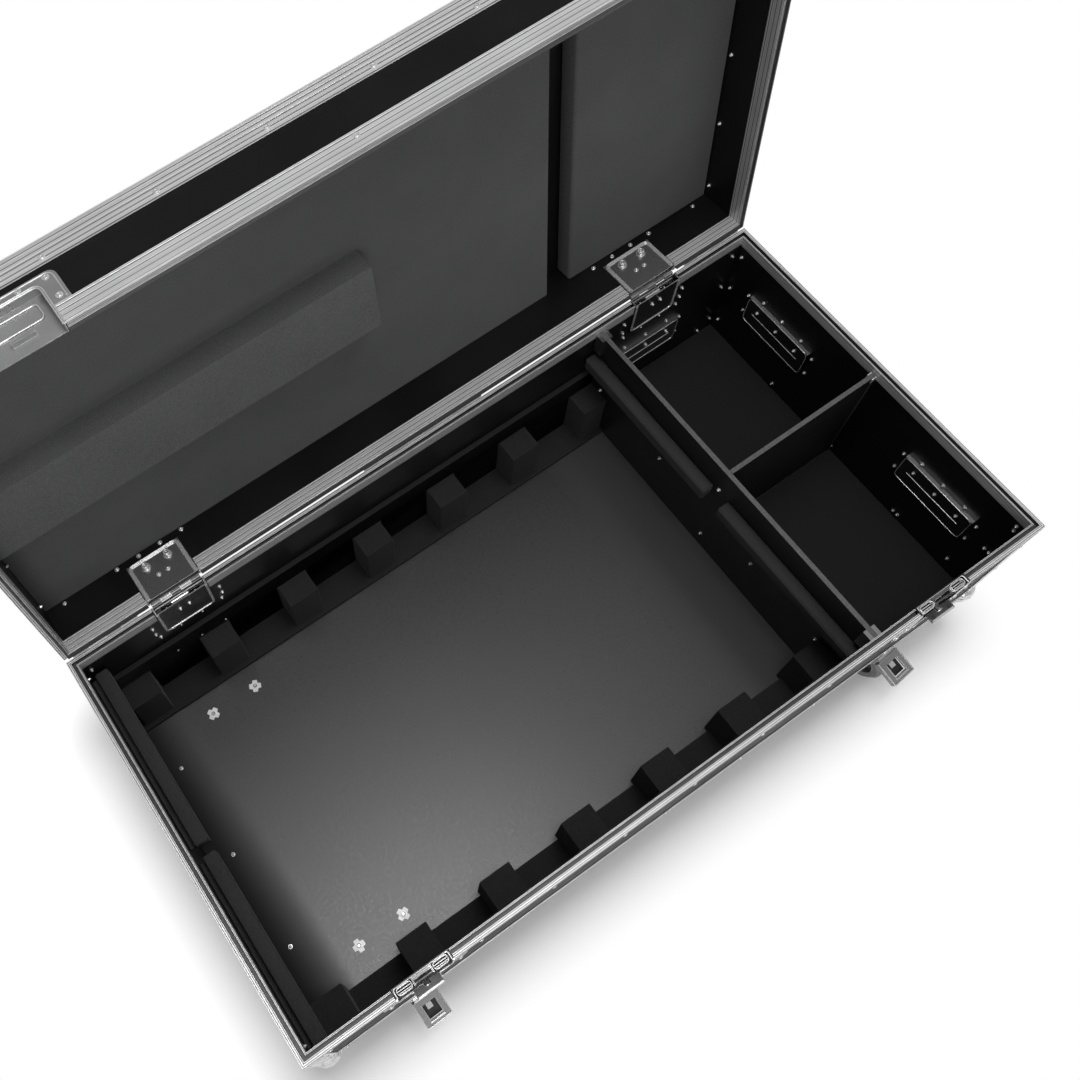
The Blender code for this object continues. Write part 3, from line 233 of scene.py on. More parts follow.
class Graph:
    """Adds nodes to one tree and joins their sockets."""

    def __init__(self, tree: Tree) -> None:
        """Keeps the tree that is built."""
        self.tree = tree

    def node(self, kind: str, inputs: dict | None = None, **settings) -> bpy.types.Node:
        """Adds a node.

        Args:
            kind: The node's type name.
            inputs: Values or sockets by input name or number.
            settings: Properties of the node.

        Returns:
            The new node.
        """
        made = self.tree.nodes.new(kind)
        for key, value in settings.items():
            setattr(made, key, value)
        for key, value in (inputs or {}).items():
            self.put(made.inputs[key], value)
        return made

    def out(self, kind: str, inputs: dict | None = None, **settings) -> Socket:
        """Adds a node and returns its first output."""
        return self.node(kind, inputs, **settings).outputs[0]

    def put(self, socket: Socket, value) -> None:
        """Joins a socket to another, or sets its value."""
        if isinstance(value, bpy.types.NodeSocket):
            self.tree.links.new(value, socket)
        else:
            socket.default_value = value

    def math(self, operation: str, first, second=0.0, third=0.0, clamp: bool = False) -> Socket:
        """Adds a Math node and returns its value."""
        inputs = {0: first, 1: second, 2: third}
        return self.out("ShaderNodeMath", inputs, operation=operation, use_clamp=clamp)

    def times(self, first, second) -> Socket:
        """Product of two values."""
        return self.math("MULTIPLY", first, second)

    def minus(self, first, second, clamp: bool = False) -> Socket:
        """Difference of two values."""
        return self.math("SUBTRACT", first, second, clamp=clamp)

    def size(self, value) -> Socket:
        """A value without its sign."""
        return self.math("ABSOLUTE", value)

    def below(self, value, limit) -> Socket:
        """1 where a value is less than a limit, else 0."""
        return self.math("LESS_THAN", value, limit)

    def above(self, value, limit) -> Socket:
        """1 where a value is more than a limit, else 0."""
        return self.math("GREATER_THAN", value, limit)

    def vector(self, operation: str, first, second=ORIGIN) -> Socket:
        """Adds a Vector Math node and returns its vector."""
        return self.out("ShaderNodeVectorMath", {0: first, 1: second}, operation=operation)

    def measure(self, operation: str, first, second=ORIGIN) -> Socket:
        """Adds a Vector Math node and returns its value."""
        made = self.node("ShaderNodeVectorMath", {0: first, 1: second}, operation=operation)
        return made.outputs["Value"]

    def axes(self, vector) -> tuple[Socket, Socket, Socket]:
        """Splits a vector into its three parts."""
        return tuple(self.node("ShaderNodeSeparateXYZ", {0: vector}).outputs)

    def blend(self, share, first, second) -> Socket:
        """Mixes two colours by a share."""
        made = self.node("ShaderNodeMix", {0: share, 6: first, 7: second}, data_type="RGBA")
        return made.outputs[2]

    def between(self, share, first, second) -> Socket:
        """Mixes two values by a share."""
        return self.out("ShaderNodeMix", {0: share, 2: first, 3: second}, data_type="FLOAT")

    def spread(self, value, low: float, high: float, start: float = 0.0, end: float = 1.0) -> Socket:
        """Maps a value from low..high to start..end, clamped."""
        return self.out("ShaderNodeMapRange", {0: value, 1: low, 2: high, 3: start, 4: end})

    def noise(self, vector, scale: float, detail: float = 2.0) -> Socket:
        """Adds a Noise Texture and returns its value."""
        return self.out("ShaderNodeTexNoise", {"Vector": vector, "Scale": scale, "Detail": detail})

    def group(self, tree: Tree, inputs: dict) -> bpy.types.bpy_prop_collection:
        """Adds a shader group with its inputs set and returns its outputs."""
        return self.node("ShaderNodeGroup", inputs, node_tree=tree).outputs


class SharedGroups:
    """Effects that more than one finish uses, each built once as a shader group."""

    def __init__(self) -> None:
        """Builds every group."""
        self.region = self.make_region()
        self.inset = self.make_inset()
        self.drawn = self.make_drawn()
        self.pebble = self.make_pebble()
        self.handling = self.make_handling()
        self.cells = self.make_cells()
        self.edges = self.make_edges()

    @staticmethod
    def start(name: str, inputs: dict, outputs: Iterable[str]) -> tuple[Graph, dict, dict]:
        """Opens a new shader group.

        Args:
            name: The group's name.
            inputs: Defaults by input name; a tuple makes a vector input, a number a value input.
            outputs: Names of the value outputs.

        Returns:
            The graph, its input sockets and its output sockets, both by name.
        """
        tree = bpy.data.node_groups.new(name, "ShaderNodeTree")
        for label, default in inputs.items():
            kind = "NodeSocketVector" if isinstance(default, tuple) else "NodeSocketFloat"
            tree.interface.new_socket(name=label, in_out="INPUT", socket_type=kind).default_value = default
        for label in outputs:
            tree.interface.new_socket(name=label, in_out="OUTPUT", socket_type="NodeSocketFloat")
        graph = Graph(tree)
        entry, leave = graph.node("NodeGroupInput"), graph.node("NodeGroupOutput")
        return graph, dict(entry.outputs.items()), dict(leave.inputs.items())

    def make_region(self) -> Tree:
        """Mask that is 1 inside a box and 0 outside it."""
        graph, given, result = self.start(
            "Box region", {"Vector": ORIGIN, "Centre": ORIGIN, "Half": (1.0, 1.0, 1.0)}, ["Mask"])
        away = graph.vector("SUBTRACT", given["Vector"], given["Centre"])
        over = graph.vector("SUBTRACT", graph.vector("ABSOLUTE", away), given["Half"])
        x, y, z = graph.axes(over)
        most = graph.math("MAXIMUM", graph.math("MAXIMUM", x, y), z)
        graph.put(result["Mask"], graph.below(most, 0.0))
        return graph.tree

    def make_inset(self) -> Tree:
        """Distance in from the case's upright outer faces, which turns at mitred corners."""
        graph, given, result = self.start(
            "Distance in from outside", {"Vector": ORIGIN, "Half": (1.0, 1.0, 1.0)}, ["Inset"])
        inwards = graph.vector("SUBTRACT", given["Half"], graph.vector("ABSOLUTE", given["Vector"]))
        x, y, _ = graph.axes(inwards)
        graph.put(result["Inset"], graph.math("MINIMUM", x, y))
        return graph.tree

    def make_drawn(self) -> Tree:
        """Long straight lines of a drawn extrusion: fine scoring, slow bands and cut grooves."""
        graph, given, result = self.start(
            "Drawn lines", {"Across": 0.0, "Fine": 3000.0, "Broad": 420.0, "Pitch": 0.0026, "Groove": 0.28},
            ["Line", "Band", "Groove"])
        for label, scale in (("Line", "Fine"), ("Band", "Broad")):
            inputs = {"W": graph.times(given["Across"], given[scale]), "Scale": 1.0, "Detail": 1.0}
            lines = graph.out("ShaderNodeTexNoise", inputs, noise_dimensions="1D")
            graph.put(result[label], graph.spread(lines, 0.3, 0.7))
        turn = graph.math("FRACT", graph.math("DIVIDE", given["Across"], given["Pitch"]))
        away = graph.size(graph.minus(turn, 0.5))
        half = graph.times(given["Groove"], 0.5)
        edge_width = 0.06
        soft = graph.math("DIVIDE", graph.minus(half, away), edge_width)
        graph.put(result["Groove"], graph.math("ADD", soft, 0.5, clamp=True))
        return graph.tree

    def make_pebble(self) -> Tree:
        """Small rounded pebbles pressed in a laminate's face."""
        graph, given, result = self.start("Pebble skin", {"Vector": ORIGIN, "Scale": 420.0}, ["Height"])
        inputs = {"Vector": given["Vector"], "Scale": given["Scale"]}
        cells = graph.node("ShaderNodeTexVoronoi", inputs, feature="SMOOTH_F1")
        graph.put(result["Height"], graph.spread(cells.outputs["Distance"], 0.1, 0.7, 1.0, 0.0))
        return graph.tree

    def make_handling(self) -> Tree:
        """Slow smudges and thin scratches left by handling."""
        graph, given, result = self.start(
            "Handling marks", {"Vector": ORIGIN, "Scale": 9.0}, ["Smudge", "Scratch"])
        slow = graph.noise(given["Vector"], given["Scale"], detail=4.0)
        graph.put(result["Smudge"], graph.spread(slow, 0.35, 0.7))
        stretch = {"Vector": given["Vector"], "Rotation": (0.4, 0.3, 0.7), "Scale": (30.0, 900.0, 500.0)}
        thin = graph.noise(graph.out("ShaderNodeMapping", stretch), scale=1.0, detail=1.0)
        graph.put(result["Scratch"], graph.spread(thin, 0.72, 0.78))
        return graph.tree

    def make_cells(self) -> Tree:
        """Fine closed cells of cut foam, with a slower unevenness."""
        graph, given, result = self.start("Foam cells", {"Vector": ORIGIN, "Scale": 700.0}, ["Cell", "Slow"])
        for label, scale, detail in (("Cell", given["Scale"], 2.0), ("Slow", 14.0, 3.0)):
            graph.put(result[label], graph.spread(graph.noise(given["Vector"], scale, detail), 0.3, 0.7))
        return graph.tree

    def make_edges(self) -> Tree:
        """Mask along corners, where handling polishes metal and wears paint."""
        graph, given, result = self.start(
            "Worn edges", {"Vector": ORIGIN, "Radius": 0.001, "Breakup": 60.0}, ["Mask"])
        soft = graph.out("ShaderNodeBevel", {"Radius": given["Radius"]}, samples=4)
        plain = graph.node("ShaderNodeNewGeometry").outputs["Normal"]
        edge = graph.spread(graph.measure("DOT_PRODUCT", soft, plain), 0.9, 0.998, 1.0, 0.0)
        patchy = graph.noise(given["Vector"], given["Breakup"], detail=3.0)
        graph.put(result["Mask"], graph.times(edge, graph.spread(patchy, 0.35, 0.6)))
        return graph.tree


GROUPS = SharedGroups()


# Finishes

@dataclass(frozen=True)
class Coat:
    """Colour and gloss of one bare surface.

    Attributes:
        colour: Linear grey level or colour.
        roughness: Roughness of the surface.
        metallic: 1 for bare metal.
    """

    colour: Point
    roughness: float
    metallic: float = 0.0

    def scaled(self, share: float = 1.0) -> Colour:
        """The colour made darker or lighter by a share, with full alpha."""
        return (*[channel * share for channel in self.colour], 1.0)


def grey(level: float, cool: float = 0.0) -> Point:
    """A neutral colour, a little cooler where asked."""
    return (level * (1 - cool), level, level * (1 + cool))


LAMINATE = Coat(grey(0.0036), 0.52)
PLY_FACE = Coat(grey(0.0035), 0.34)
FLOOR_BOARD = Coat(grey(0.010, 0.01), 0.32)
BAY_MAT = Coat(grey(0.0055), 0.85)
PAINTED_PLY = Coat(grey(0.0045), 0.45)
ALUMINIUM = Coat(grey(0.62, 0.004), 0.34, 0.60)
ZINC = Coat(grey(0.40, 0.006), 0.28, 0.74)
RIVET_STEEL = Coat(grey(0.80), 0.24, 0.72)
LID_FOAM = Coat(grey(0.088, 0.01), 0.92)
CRADLE_FOAM = Coat(grey(0.013, 0.01), 0.95)
PAD_FOAM = Coat(grey(0.024, 0.01), 0.93)
GREY_RUBBER = Coat(grey(0.26, 0.01), 0.62)
BLACK_RUBBER = Coat(grey(0.018), 0.60)
WHEEL_CORE = Coat(grey(0.055), 0.42)
# Near-black that paints the shade in holes and behind the pedals' windows.
PAINTED_HOLE_SHADE = Coat(grey(0.010), 0.36)
DULL_ZINC = Coat(grey(0.17, 0.006), 0.34, 1.0)
PLATE_ZINC = Coat(grey(0.27, 0.006), 0.28, 0.80)
DARK_ZINC = Coat(grey(0.06, 0.006), 0.45, 0.50)
# Near-black that paints the shade in latch pockets and hinge slots.
PAINTED_DEEP_SHADE = Coat(grey(0.004), 0.95)
NUT_ZINC = Coat(grey(0.72), 0.46, 0.35)
POLISHED = (0.95, 0.95, 0.95, 1.0)
# Dark colour that paints shade on inward-looking metal.
PAINTED_SHADE_METAL = (0.045, 0.045, 0.046, 1.0)


class Finish:
    """A material with its Principled shader and the coordinates of its pattern."""

    def __init__(self, name: str, space: Space = Space.BASE) -> None:
        """Starts a material.

        Args:
            name: The material's name.
            space: The half of the case that its pattern is laid on.
        """
        self.material = bpy.data.materials.new(name)
        self.material.use_nodes = True
        self.graph = Graph(self.material.node_tree)
        self.shader = self.material.node_tree.nodes["Principled BSDF"]
        self.space = space
        self.coordinates = self.graph.node("ShaderNodeTexCoord")
        self.vector = self.shut(self.coordinates.outputs["Object"], "POINT")

    def shut(self, socket: Socket, kind: str) -> Socket:
        """Coordinates as they are on the shut case."""
        if self.space is Space.BASE:
            return socket
        inputs = {"Vector": socket, "Rotation": LID.shut_rotation()}
        if kind == "POINT":
            inputs["Location"] = tuple(LID.shut_shift())
        return self.graph.out("ShaderNodeMapping", inputs, vector_type=kind)

    def facing_up(self) -> Socket:
        """1 on faces that look up or down on the shut case, 0 on upright ones."""
        normal = self.shut(self.coordinates.outputs["Normal"], "VECTOR")
        return self.graph.above(self.graph.size(self.graph.axes(normal)[2]), 0.7)

    def inset(self) -> Socket:
        """Distance in from the case's upright outer faces."""
        return self.graph.group(GROUPS.inset, {"Vector": self.vector, "Half": CASE.plan})["Inset"]

    def inside(self, blocks: Sequence[Block]) -> Socket:
        """Mask of several boxes together, each given by its centre and half sizes."""
        result = None
        for centre, half in blocks:
            inputs = {"Vector": self.vector, "Centre": centre, "Half": half}
            mask = self.graph.group(GROUPS.region, inputs)["Mask"]
            result = mask if result is None else self.graph.math("MAXIMUM", result, mask)
        return result

    def feed(self, inputs: dict) -> None:
        """Feeds the shader's inputs by name."""
        for key, value in inputs.items():
            self.graph.put(self.shader.inputs[key], value)

    def set(self, colour, roughness, metallic=0.0) -> None:
        """Feeds the shader's colour, roughness and metallic."""
        self.feed({"Base Color": colour, "Roughness": roughness, "Metallic": metallic})

    def bump(self, height: Socket, depth: float, strength: float = 1.0) -> None:
        """Feeds the shader's normal from a height."""
        inputs = {"Height": height, "Distance": depth, "Strength": strength}
        self.feed({"Normal": self.graph.out("ShaderNodeBump", inputs)})

    def handled(self, coat: Coat, lighter: float = 0.25, scale: float = 9.0) -> tuple[Socket, Socket]:
        """Colour and roughness of a coat with smudges and scratches.

        Args:
            coat: The clean surface.
            lighter: Share by which a smudge lifts the colour.
            scale: Scale of the smudges.

        Returns:
            The colour and the roughness.
        """
        marks = self.graph.group(GROUPS.handling, {"Vector": self.vector, "Scale": scale})
        colour = self.graph.blend(marks["Smudge"], coat.scaled(), coat.scaled(1 + lighter))
        worn = self.graph.math("MULTIPLY_ADD", marks["Smudge"], 0.12, coat.roughness - 0.05)
        return colour, self.graph.math("MULTIPLY_ADD", marks["Scratch"], 0.15, worn)

    def polished(self, colour: Socket, radius: float) -> Socket:
        """A colour whose corners, as wide as a radius, are polished bright."""
        worn = self.graph.group(GROUPS.edges, {"Vector": self.vector, "Radius": radius})
        return self.graph.blend(worn["Mask"], colour, POLISHED)


class MetalFinish(Finish):
    """Bare metal: polished corners, soft smudges and fine grain, with painted shade on inward-looking faces
    where asked.
    """

    def __init__(self, name: str, coat: Coat, space: Space = Space.BASE, grain: float = 900.0,
                 shade: Spot | None = None, limit: float = 0.0) -> None:
        """Builds the metal from its coat.

        Args:
            name: The material's name.
            coat: The clean surface.
            space: Base or lid.
            grain: Scale of the surface grain.
            shade: Half length and half depth of a block in which metal that looks inwards is painted dark as
                shade.
            limit: How far out along its own normal a surface has to lie to stay free of that painted shade.
        """
        super().__init__(name, space)
        graph = self.graph
        colour, roughness = self.handled(coat, lighter=-0.18, scale=22.0)
        bright = self.polished(colour, radius=0.0008)
        # Painted shade: metal that looks inwards inside the block takes a dark colour.
        if shade:
            outwards = graph.measure("DOT_PRODUCT", self.coordinates.outputs["Normal"], self.vector)
            inwards = graph.below(outwards, limit)
            within = graph.times(inwards, self.inside([(ORIGIN, (*shade, 1.0))]))
            bright = graph.blend(within, bright, PAINTED_SHADE_METAL)
        self.set(bright, roughness, coat.metallic)
        self.bump(graph.noise(self.vector, grain), depth=0.00004, strength=0.5)


class ExtrusionFinish(Finish):
    """Anodised extrusion with the long lines of its die, and painted shade in its grooves.

    Attributes:
        legs: Pitch and share of the grooves on upright faces, which are painted dark as shade.
        ledges: The same on faces that look up or down.
        hairs: The same of the fine grooves on upright faces.
        hair_share: Strength of the fine grooves' painted shade.
        uprights: Highest and lowest level at which the lines run upright, in each half of the case.
        ball: Reach and lowest level of a plain ball corner.
        groove: Level and half height of the groove in the closing face, which is painted dark as shade.
        groove_inset: How far in from outside that groove starts and ends.
        bands: The two tones of the slow bands.
        hair_groove_shade: Painted shade of the fine grooves.
        smudge_tone: Tone of a smudge.
        painted_groove_shade: Painted shade inside a groove.
    """

    legs = {"Pitch": 0.0068, "Groove": 0.17}
    ledges = {"Pitch": 0.0026, "Groove": 0.30}
    hairs = {"Pitch": 0.0023, "Groove": 0.30}
    hair_share = 0.55
    uprights = {Space.LID: (0.083, 0.028), Space.BASE: (-0.028, 0.033 - CASE.rim)}
    ball = (0.0275, 0.0835)
    groove = (-0.0048, 0.0042)
    groove_inset = (0.0051, 0.0109)
    bands = ((0.62, 0.622, 0.625, 1.0), (0.92, 0.92, 0.925, 1.0))
    hair_groove_shade = (0.30, 0.302, 0.305, 1.0)
    smudge_tone = (0.50, 0.50, 0.51, 1.0)
    painted_groove_shade = (0.075, 0.075, 0.077, 1.0)

    def __init__(self, name: str, space: Space) -> None:
        """Builds the extrusion for one half of the case."""
        super().__init__(name, space)
        graph = self.graph
        inset = self.inset()
        level = graph.minus(graph.axes(self.vector)[2], CASE.rim)
        up = self.facing_up()
        corner = (CASE.half_length, CASE.half_depth, 0.0)
        from_corner = graph.axes(graph.vector("SUBTRACT", corner, graph.vector("ABSOLUTE", self.vector)))
        along = graph.math("MAXIMUM", from_corner[0], from_corner[1])
        top, bottom = self.uprights[space]
        upright = graph.times(graph.below(level, top), graph.above(level, bottom))
        across = graph.between(upright, level, along)
        reach, lowest = self.ball
        ball = graph.times(graph.below(along, reach), graph.above(graph.size(level), lowest))
        ledge = graph.group(GROUPS.drawn, {"Across": inset, **self.ledges})
        leg = graph.group(GROUPS.drawn, {"Across": across, **self.legs})
        hair = graph.group(GROUPS.drawn, {"Across": across, **self.hairs})["Groove"]
        parts = ("Line", "Band", "Groove")
        fine, band, groove = [graph.between(up, leg[part], ledge[part]) for part in parts]
        sides = graph.minus(graph.minus(1.0, up), ball, clamp=True)
        # The fine grooves are painted darker as shade.
        hair_share = graph.times(graph.times(hair, sides), self.hair_share)
        light = graph.blend(hair_share, graph.blend(band, *self.bands), self.hair_groove_shade)
        marks = graph.group(GROUPS.handling, {"Vector": self.vector, "Scale": 14.0})
        colour = graph.blend(graph.times(marks["Smudge"], 0.3), light, self.smudge_tone)
        bright = self.polished(colour, radius=0.0007)
        # The closing face's groove, which gets painted shade.
        middle_level, half_height = self.groove
        start, end = self.groove_inset
        inside = graph.below(graph.size(graph.minus(level, middle_level)), half_height)
        buried = graph.times(inside, graph.above(inset, start))
        shade = graph.times(buried, graph.below(inset, end))
        # Painted shade: the die grooves and the closing face's groove take a dark tone.
        dark = graph.math("MAXIMUM", graph.times(groove, graph.minus(1.0, ball)), shade)
        rough = graph.math("MULTIPLY_ADD", band, 0.12, ALUMINIUM.roughness - 0.04)
        self.set(graph.blend(dark, bright, self.painted_groove_shade), rough, ALUMINIUM.metallic)
        self.bump(graph.minus(graph.times(fine, 0.2), dark), depth=0.0003, strength=0.6)


class PanelFinish(Finish):
    """Phenolic-faced ply: pebbled outside, smooth inside, with metal pressings where they are fused in."""

    def __init__(self, name: str, space: Space, pressings: Sequence[Block] = ()) -> None:
        """Builds a wall panel's finish.

        Args:
            name: The material's name.
            space: Base or lid.
            pressings: Centres and half sizes of metal areas.
        """
        super().__init__(name, space)
        graph = self.graph
        lid_face = CASE.rim + CASE.lid_top - CASE.skin - CASE.wall / 2
        outside = graph.math("MAXIMUM", graph.below(self.inset(), CASE.skin + CASE.wall / 2),
                             graph.above(graph.axes(self.vector)[2], lid_face))
        out_colour, out_rough = self.handled(LAMINATE, lighter=0.6)
        in_colour, in_rough = self.handled(PLY_FACE, lighter=0.4)
        colour = graph.blend(outside, in_colour, out_colour)
        rough = graph.between(outside, in_rough, out_rough)
        height = graph.times(graph.group(GROUPS.pebble, {"Vector": self.vector})["Height"], outside)
        self.feed({"Specular IOR Level": graph.between(outside, 0.40, 0.20)})
        metal = 0.0
        if pressings:
            metal = self.inside(pressings)
            colour = graph.blend(metal, colour, ZINC.scaled())
            rough = graph.between(metal, rough, ZINC.roughness)
            height = graph.times(height, graph.minus(1.0, metal))
        self.set(colour, rough, metal)
        self.bump(height, depth=0.00035, strength=0.9)


class FloorFinish(Finish):
    """Floor panel: fine grey face above with painted shade beside the left pads and the divider, laminate
    below, zinc castor plates.

    Attributes:
        left_pad_shade: Where the face turns from painted shade to lit beside the left pads, and the lit share
            at both ends of that.
        divider_shade: The same beside the divider, from lit to painted shade.
        speck_colour: Colour of the light specks.
        painted_shade_colour: Colour of the painted shade in those margins.
    """

    left_pad_shade: tuple[float, float, float, float] = (-0.570, -0.500, 0.0, 1.0)
    divider_shade: tuple[float, float, float, float] = (0.195, 0.250, 1.0, 0.50)
    speck_colour: Colour = (*grey(0.035, 0.01), 1.0)
    painted_shade_colour: Colour = (*grey(0.002), 1.0)

    def __init__(self, name: str) -> None:
        """Builds the floor's finish."""
        super().__init__(name)
        graph = self.graph
        along, _, level = graph.axes(self.vector)
        top = graph.above(level, CASE.wall / 2)
        plate = graph.below(level, -0.0001)
        unshaded_share = graph.times(graph.spread(along, *self.left_pad_shade), graph.spread(along, *self.divider_shade))
        grain = graph.noise(self.vector, scale=900.0, detail=3.0)
        slow = graph.spread(graph.noise(self.vector, scale=5.0, detail=3.0), 0.3, 0.7)
        face = graph.blend(slow, FLOOR_BOARD.scaled(0.85), FLOOR_BOARD.scaled(1.15))
        speck = graph.blend(graph.spread(grain, 0.35, 0.65, end=0.35), face, self.speck_colour)
        # Painted shade: the face turns dark beside the left pads and the divider, and rougher there to dim
        # its sheen.
        speck = graph.blend(unshaded_share, self.painted_shade_colour, speck)
        below, below_rough = self.handled(LAMINATE, lighter=0.6)
        colour = graph.blend(plate, graph.blend(top, below, speck), ZINC.scaled())
        polish = graph.spread(grain, 0.3, 0.7, FLOOR_BOARD.roughness - 0.06, FLOOR_BOARD.roughness + 0.08)
        rough = graph.between(top, below_rough, graph.between(unshaded_share, 0.90, polish))
        self.set(colour, graph.between(plate, rough, ZINC.roughness), plate)
        self.feed({"Specular IOR Level": 1.0})
        self.bump(grain, depth=0.00012, strength=0.5)


class FoamFinish(Finish):
    """Cut closed-cell foam."""

    def __init__(self, name: str, coat: Coat, space: Space = Space.BASE) -> None:
        """Builds foam of one colour."""
        super().__init__(name, space)
        graph = self.graph
        cells = graph.group(GROUPS.cells, {"Vector": self.vector})
        dark, light = coat.scaled(0.72), coat.scaled(1.28)
        mottled = graph.blend(cells["Cell"], dark, light)
        colour = graph.blend(graph.times(cells["Slow"], 0.35), mottled, light)
        self.set(colour, graph.between(cells["Cell"], coat.roughness, coat.roughness - 0.08))
        self.feed({"Specular IOR Level": 0.15, "Sheen Weight": 0.04, "Sheen Roughness": 0.5})
        height = graph.math("MULTIPLY_ADD", cells["Slow"], 2.0, cells["Cell"])
        self.bump(height, depth=0.00025, strength=0.7)


class GrainFinish(Finish):
    """Painted board, rubber, or the dark coat that paints the shade in holes: one coat with grain and
    handling marks.

    Attributes:
        plies: The two tones of a board's worn top edge.
    """

    plies = ((*grey(0.035), 1.0), (*grey(0.095), 1.0))

    def __init__(self, name: str, coat: Coat, grain: float = 500.0, depth: float = 0.0001,
                 metal: Sequence[Block] = (), crown: float | None = None) -> None:
        """Builds the coat.

        Args:
            name: The material's name.
            coat: The clean surface.
            grain: Scale of the grain.
            depth: Depth of the grain.
            metal: Centres and half sizes of bare metal areas.
            crown: Height above which the worn top edge of a board shows.
        """
        super().__init__(name)
        graph = self.graph
        colour, roughness = self.handled(coat, lighter=0.5)
        metallic = 0.0
        if crown is not None:
            top = graph.above(graph.axes(self.vector)[2], crown)
            edge = graph.blend(graph.noise(self.vector, scale=260.0), *self.plies)
            colour = graph.blend(top, colour, edge)
        if metal:
            metallic = self.inside(metal)
            colour = graph.blend(metallic, colour, ZINC.scaled())
            roughness = graph.between(metallic, roughness, ZINC.roughness)
        self.set(colour, roughness, metallic)
        self.bump(graph.noise(self.vector, grain, detail=3.0), depth, strength=0.6)


class WheelFinish(Finish):
    """Castor wheel: rubber tread round a darker moulded centre."""

    def __init__(self, name: str, centre: Vector, tread_from: float) -> None:
        """Builds one wheel's finish.

        Args:
            name: The material's name.
            centre: Middle of the wheel.
            tread_from: Radius where the tread starts.
        """
        super().__init__(name)
        graph = self.graph
        radius = graph.measure("LENGTH", graph.vector("SUBTRACT", self.vector, tuple(centre)))
        tread = graph.above(radius, tread_from)
        rubber, rubber_rough = self.handled(GREY_RUBBER, lighter=-0.35, scale=40.0)
        core, core_rough = self.handled(WHEEL_CORE, lighter=0.4)
        self.set(graph.blend(tread, core, rubber), graph.between(tread, core_rough, rubber_rough))
        self.bump(graph.noise(self.vector, scale=700.0), depth=0.0001, strength=0.5)


# Mesh helpers

def placed(name: str, data: bpy.types.ID) -> bpy.types.Object:
    """Adds an object to the scene."""
    made = bpy.data.objects.new(name, data)
    bpy.context.scene.collection.objects.link(made)
    return made


def new_piece(name: str, mesh: Mesh, body: str, material: Material) -> bpy.types.Object:
    """Adds a finished mesh to the scene as a piece that rides on a body.

    Args:
        name: The piece's name.
        mesh: Its mesh, already in place.
        body: The body that it rides on.
        material: Its finish.

    Returns:
        The new object.
    """
    mesh.name = name
    mesh.materials.clear()
    mesh.materials.append(material)
    piece = placed(name, mesh)
    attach(piece, body)
    LOG.info("%s: %d faces on %s", name, len(mesh.polygons), body)
    return piece


def evaluated_mesh(piece: bpy.types.Object) -> Mesh:
    """Plain mesh of an object with its modifiers applied; the object is removed."""
    graph = bpy.context.evaluated_depsgraph_get()
    final = piece.evaluated_get(graph)
    mesh = bpy.data.meshes.new_from_object(final, preserve_all_data_layers=True, depsgraph=graph)
    bpy.data.objects.remove(piece)
    return mesh


def mesh_from(work: Work) -> Mesh:
    """Closes a working mesh with its faces outwards."""
    bmesh.ops.recalc_face_normals(work, faces=work.faces)
    mesh = bpy.data.meshes.new("work")
    work.to_mesh(mesh)
    work.free()
    return mesh


def smoothed(mesh: Mesh, degrees: float = 35.0) -> Mesh:
    """Shades a mesh smooth except at sharp edges."""
    mesh.polygons.foreach_set("use_smooth", [True] * len(mesh.polygons))
    mesh.set_sharp_from_angle(angle=math.radians(degrees))
    return mesh


def cad_copy(node: str) -> Mesh:
    """Copy of a node's mesh with its corners merged and flat faces joined."""
    work = bmesh.new()
    work.from_mesh(frame["nodes"][node].data)
    bmesh.ops.remove_doubles(work, verts=work.verts, dist=1e-5)
    bmesh.ops.dissolve_limit(work, angle_limit=math.radians(1.0), verts=work.verts, edges=work.edges)
    mesh = bpy.data.meshes.new(node)
    work.to_mesh(mesh)
    work.free()
    return mesh


def bevelled(mesh: Mesh, width: float, segments: int, angle: float = 40.0) -> Mesh:
    """Rounds a mesh's sharp edges.

    Args:
        mesh: The mesh to round.
        width: Width of the round.
        segments: Faces across the round.
        angle: Edges sharper than this many degrees are rounded.

    Returns:
        A new mesh.
    """
    piece = placed("rounding", mesh)
    bevel = piece.modifiers.new("round", "BEVEL")
    bevel.width = width
    bevel.segments = segments
    bevel.limit_method = "ANGLE"
    bevel.angle_limit = math.radians(angle)
    bevel.harden_normals = True
    mesh.polygons.foreach_set("use_smooth", [True] * len(mesh.polygons))
    return evaluated_mesh(piece)


def add_box(work: Work, low: Sequence[float], high: Sequence[float]) -> None:
    """Adds a box between two corners."""
    centre = (Vector(low) + Vector(high)) / 2
    size = Vector(high) - Vector(low)
    place = Matrix.Translation(centre) @ Matrix.Diagonal((*size, 1.0))
    bmesh.ops.create_cube(work, size=1.0, matrix=place)


def add_rod(work: Work, start: Sequence[float], end: Sequence[float], radius: float,
            end_radius: float | None = None, sides: int = 24) -> None:
    """Adds a rod or cone between two points."""
    first, last = Vector(start), Vector(end)
    along = last - first
    place = Matrix.Translation((first + last) / 2) @ along.to_track_quat("Z", "Y").to_matrix().to_4x4()
    last_radius = radius if end_radius is None else end_radius
    bmesh.ops.create_cone(work, cap_ends=True, segments=sides, radius1=radius, radius2=last_radius,
                          depth=along.length, matrix=place)


def add_bar(work: Work, centre: Point, half: float, radius: float, sides: int = 24) -> None:
    """Adds a rod along the length, half of it to each side of its centre."""
    x, y, z = centre
    add_rod(work, (x - half, y, z), (x + half, y, z), radius, sides=sides)


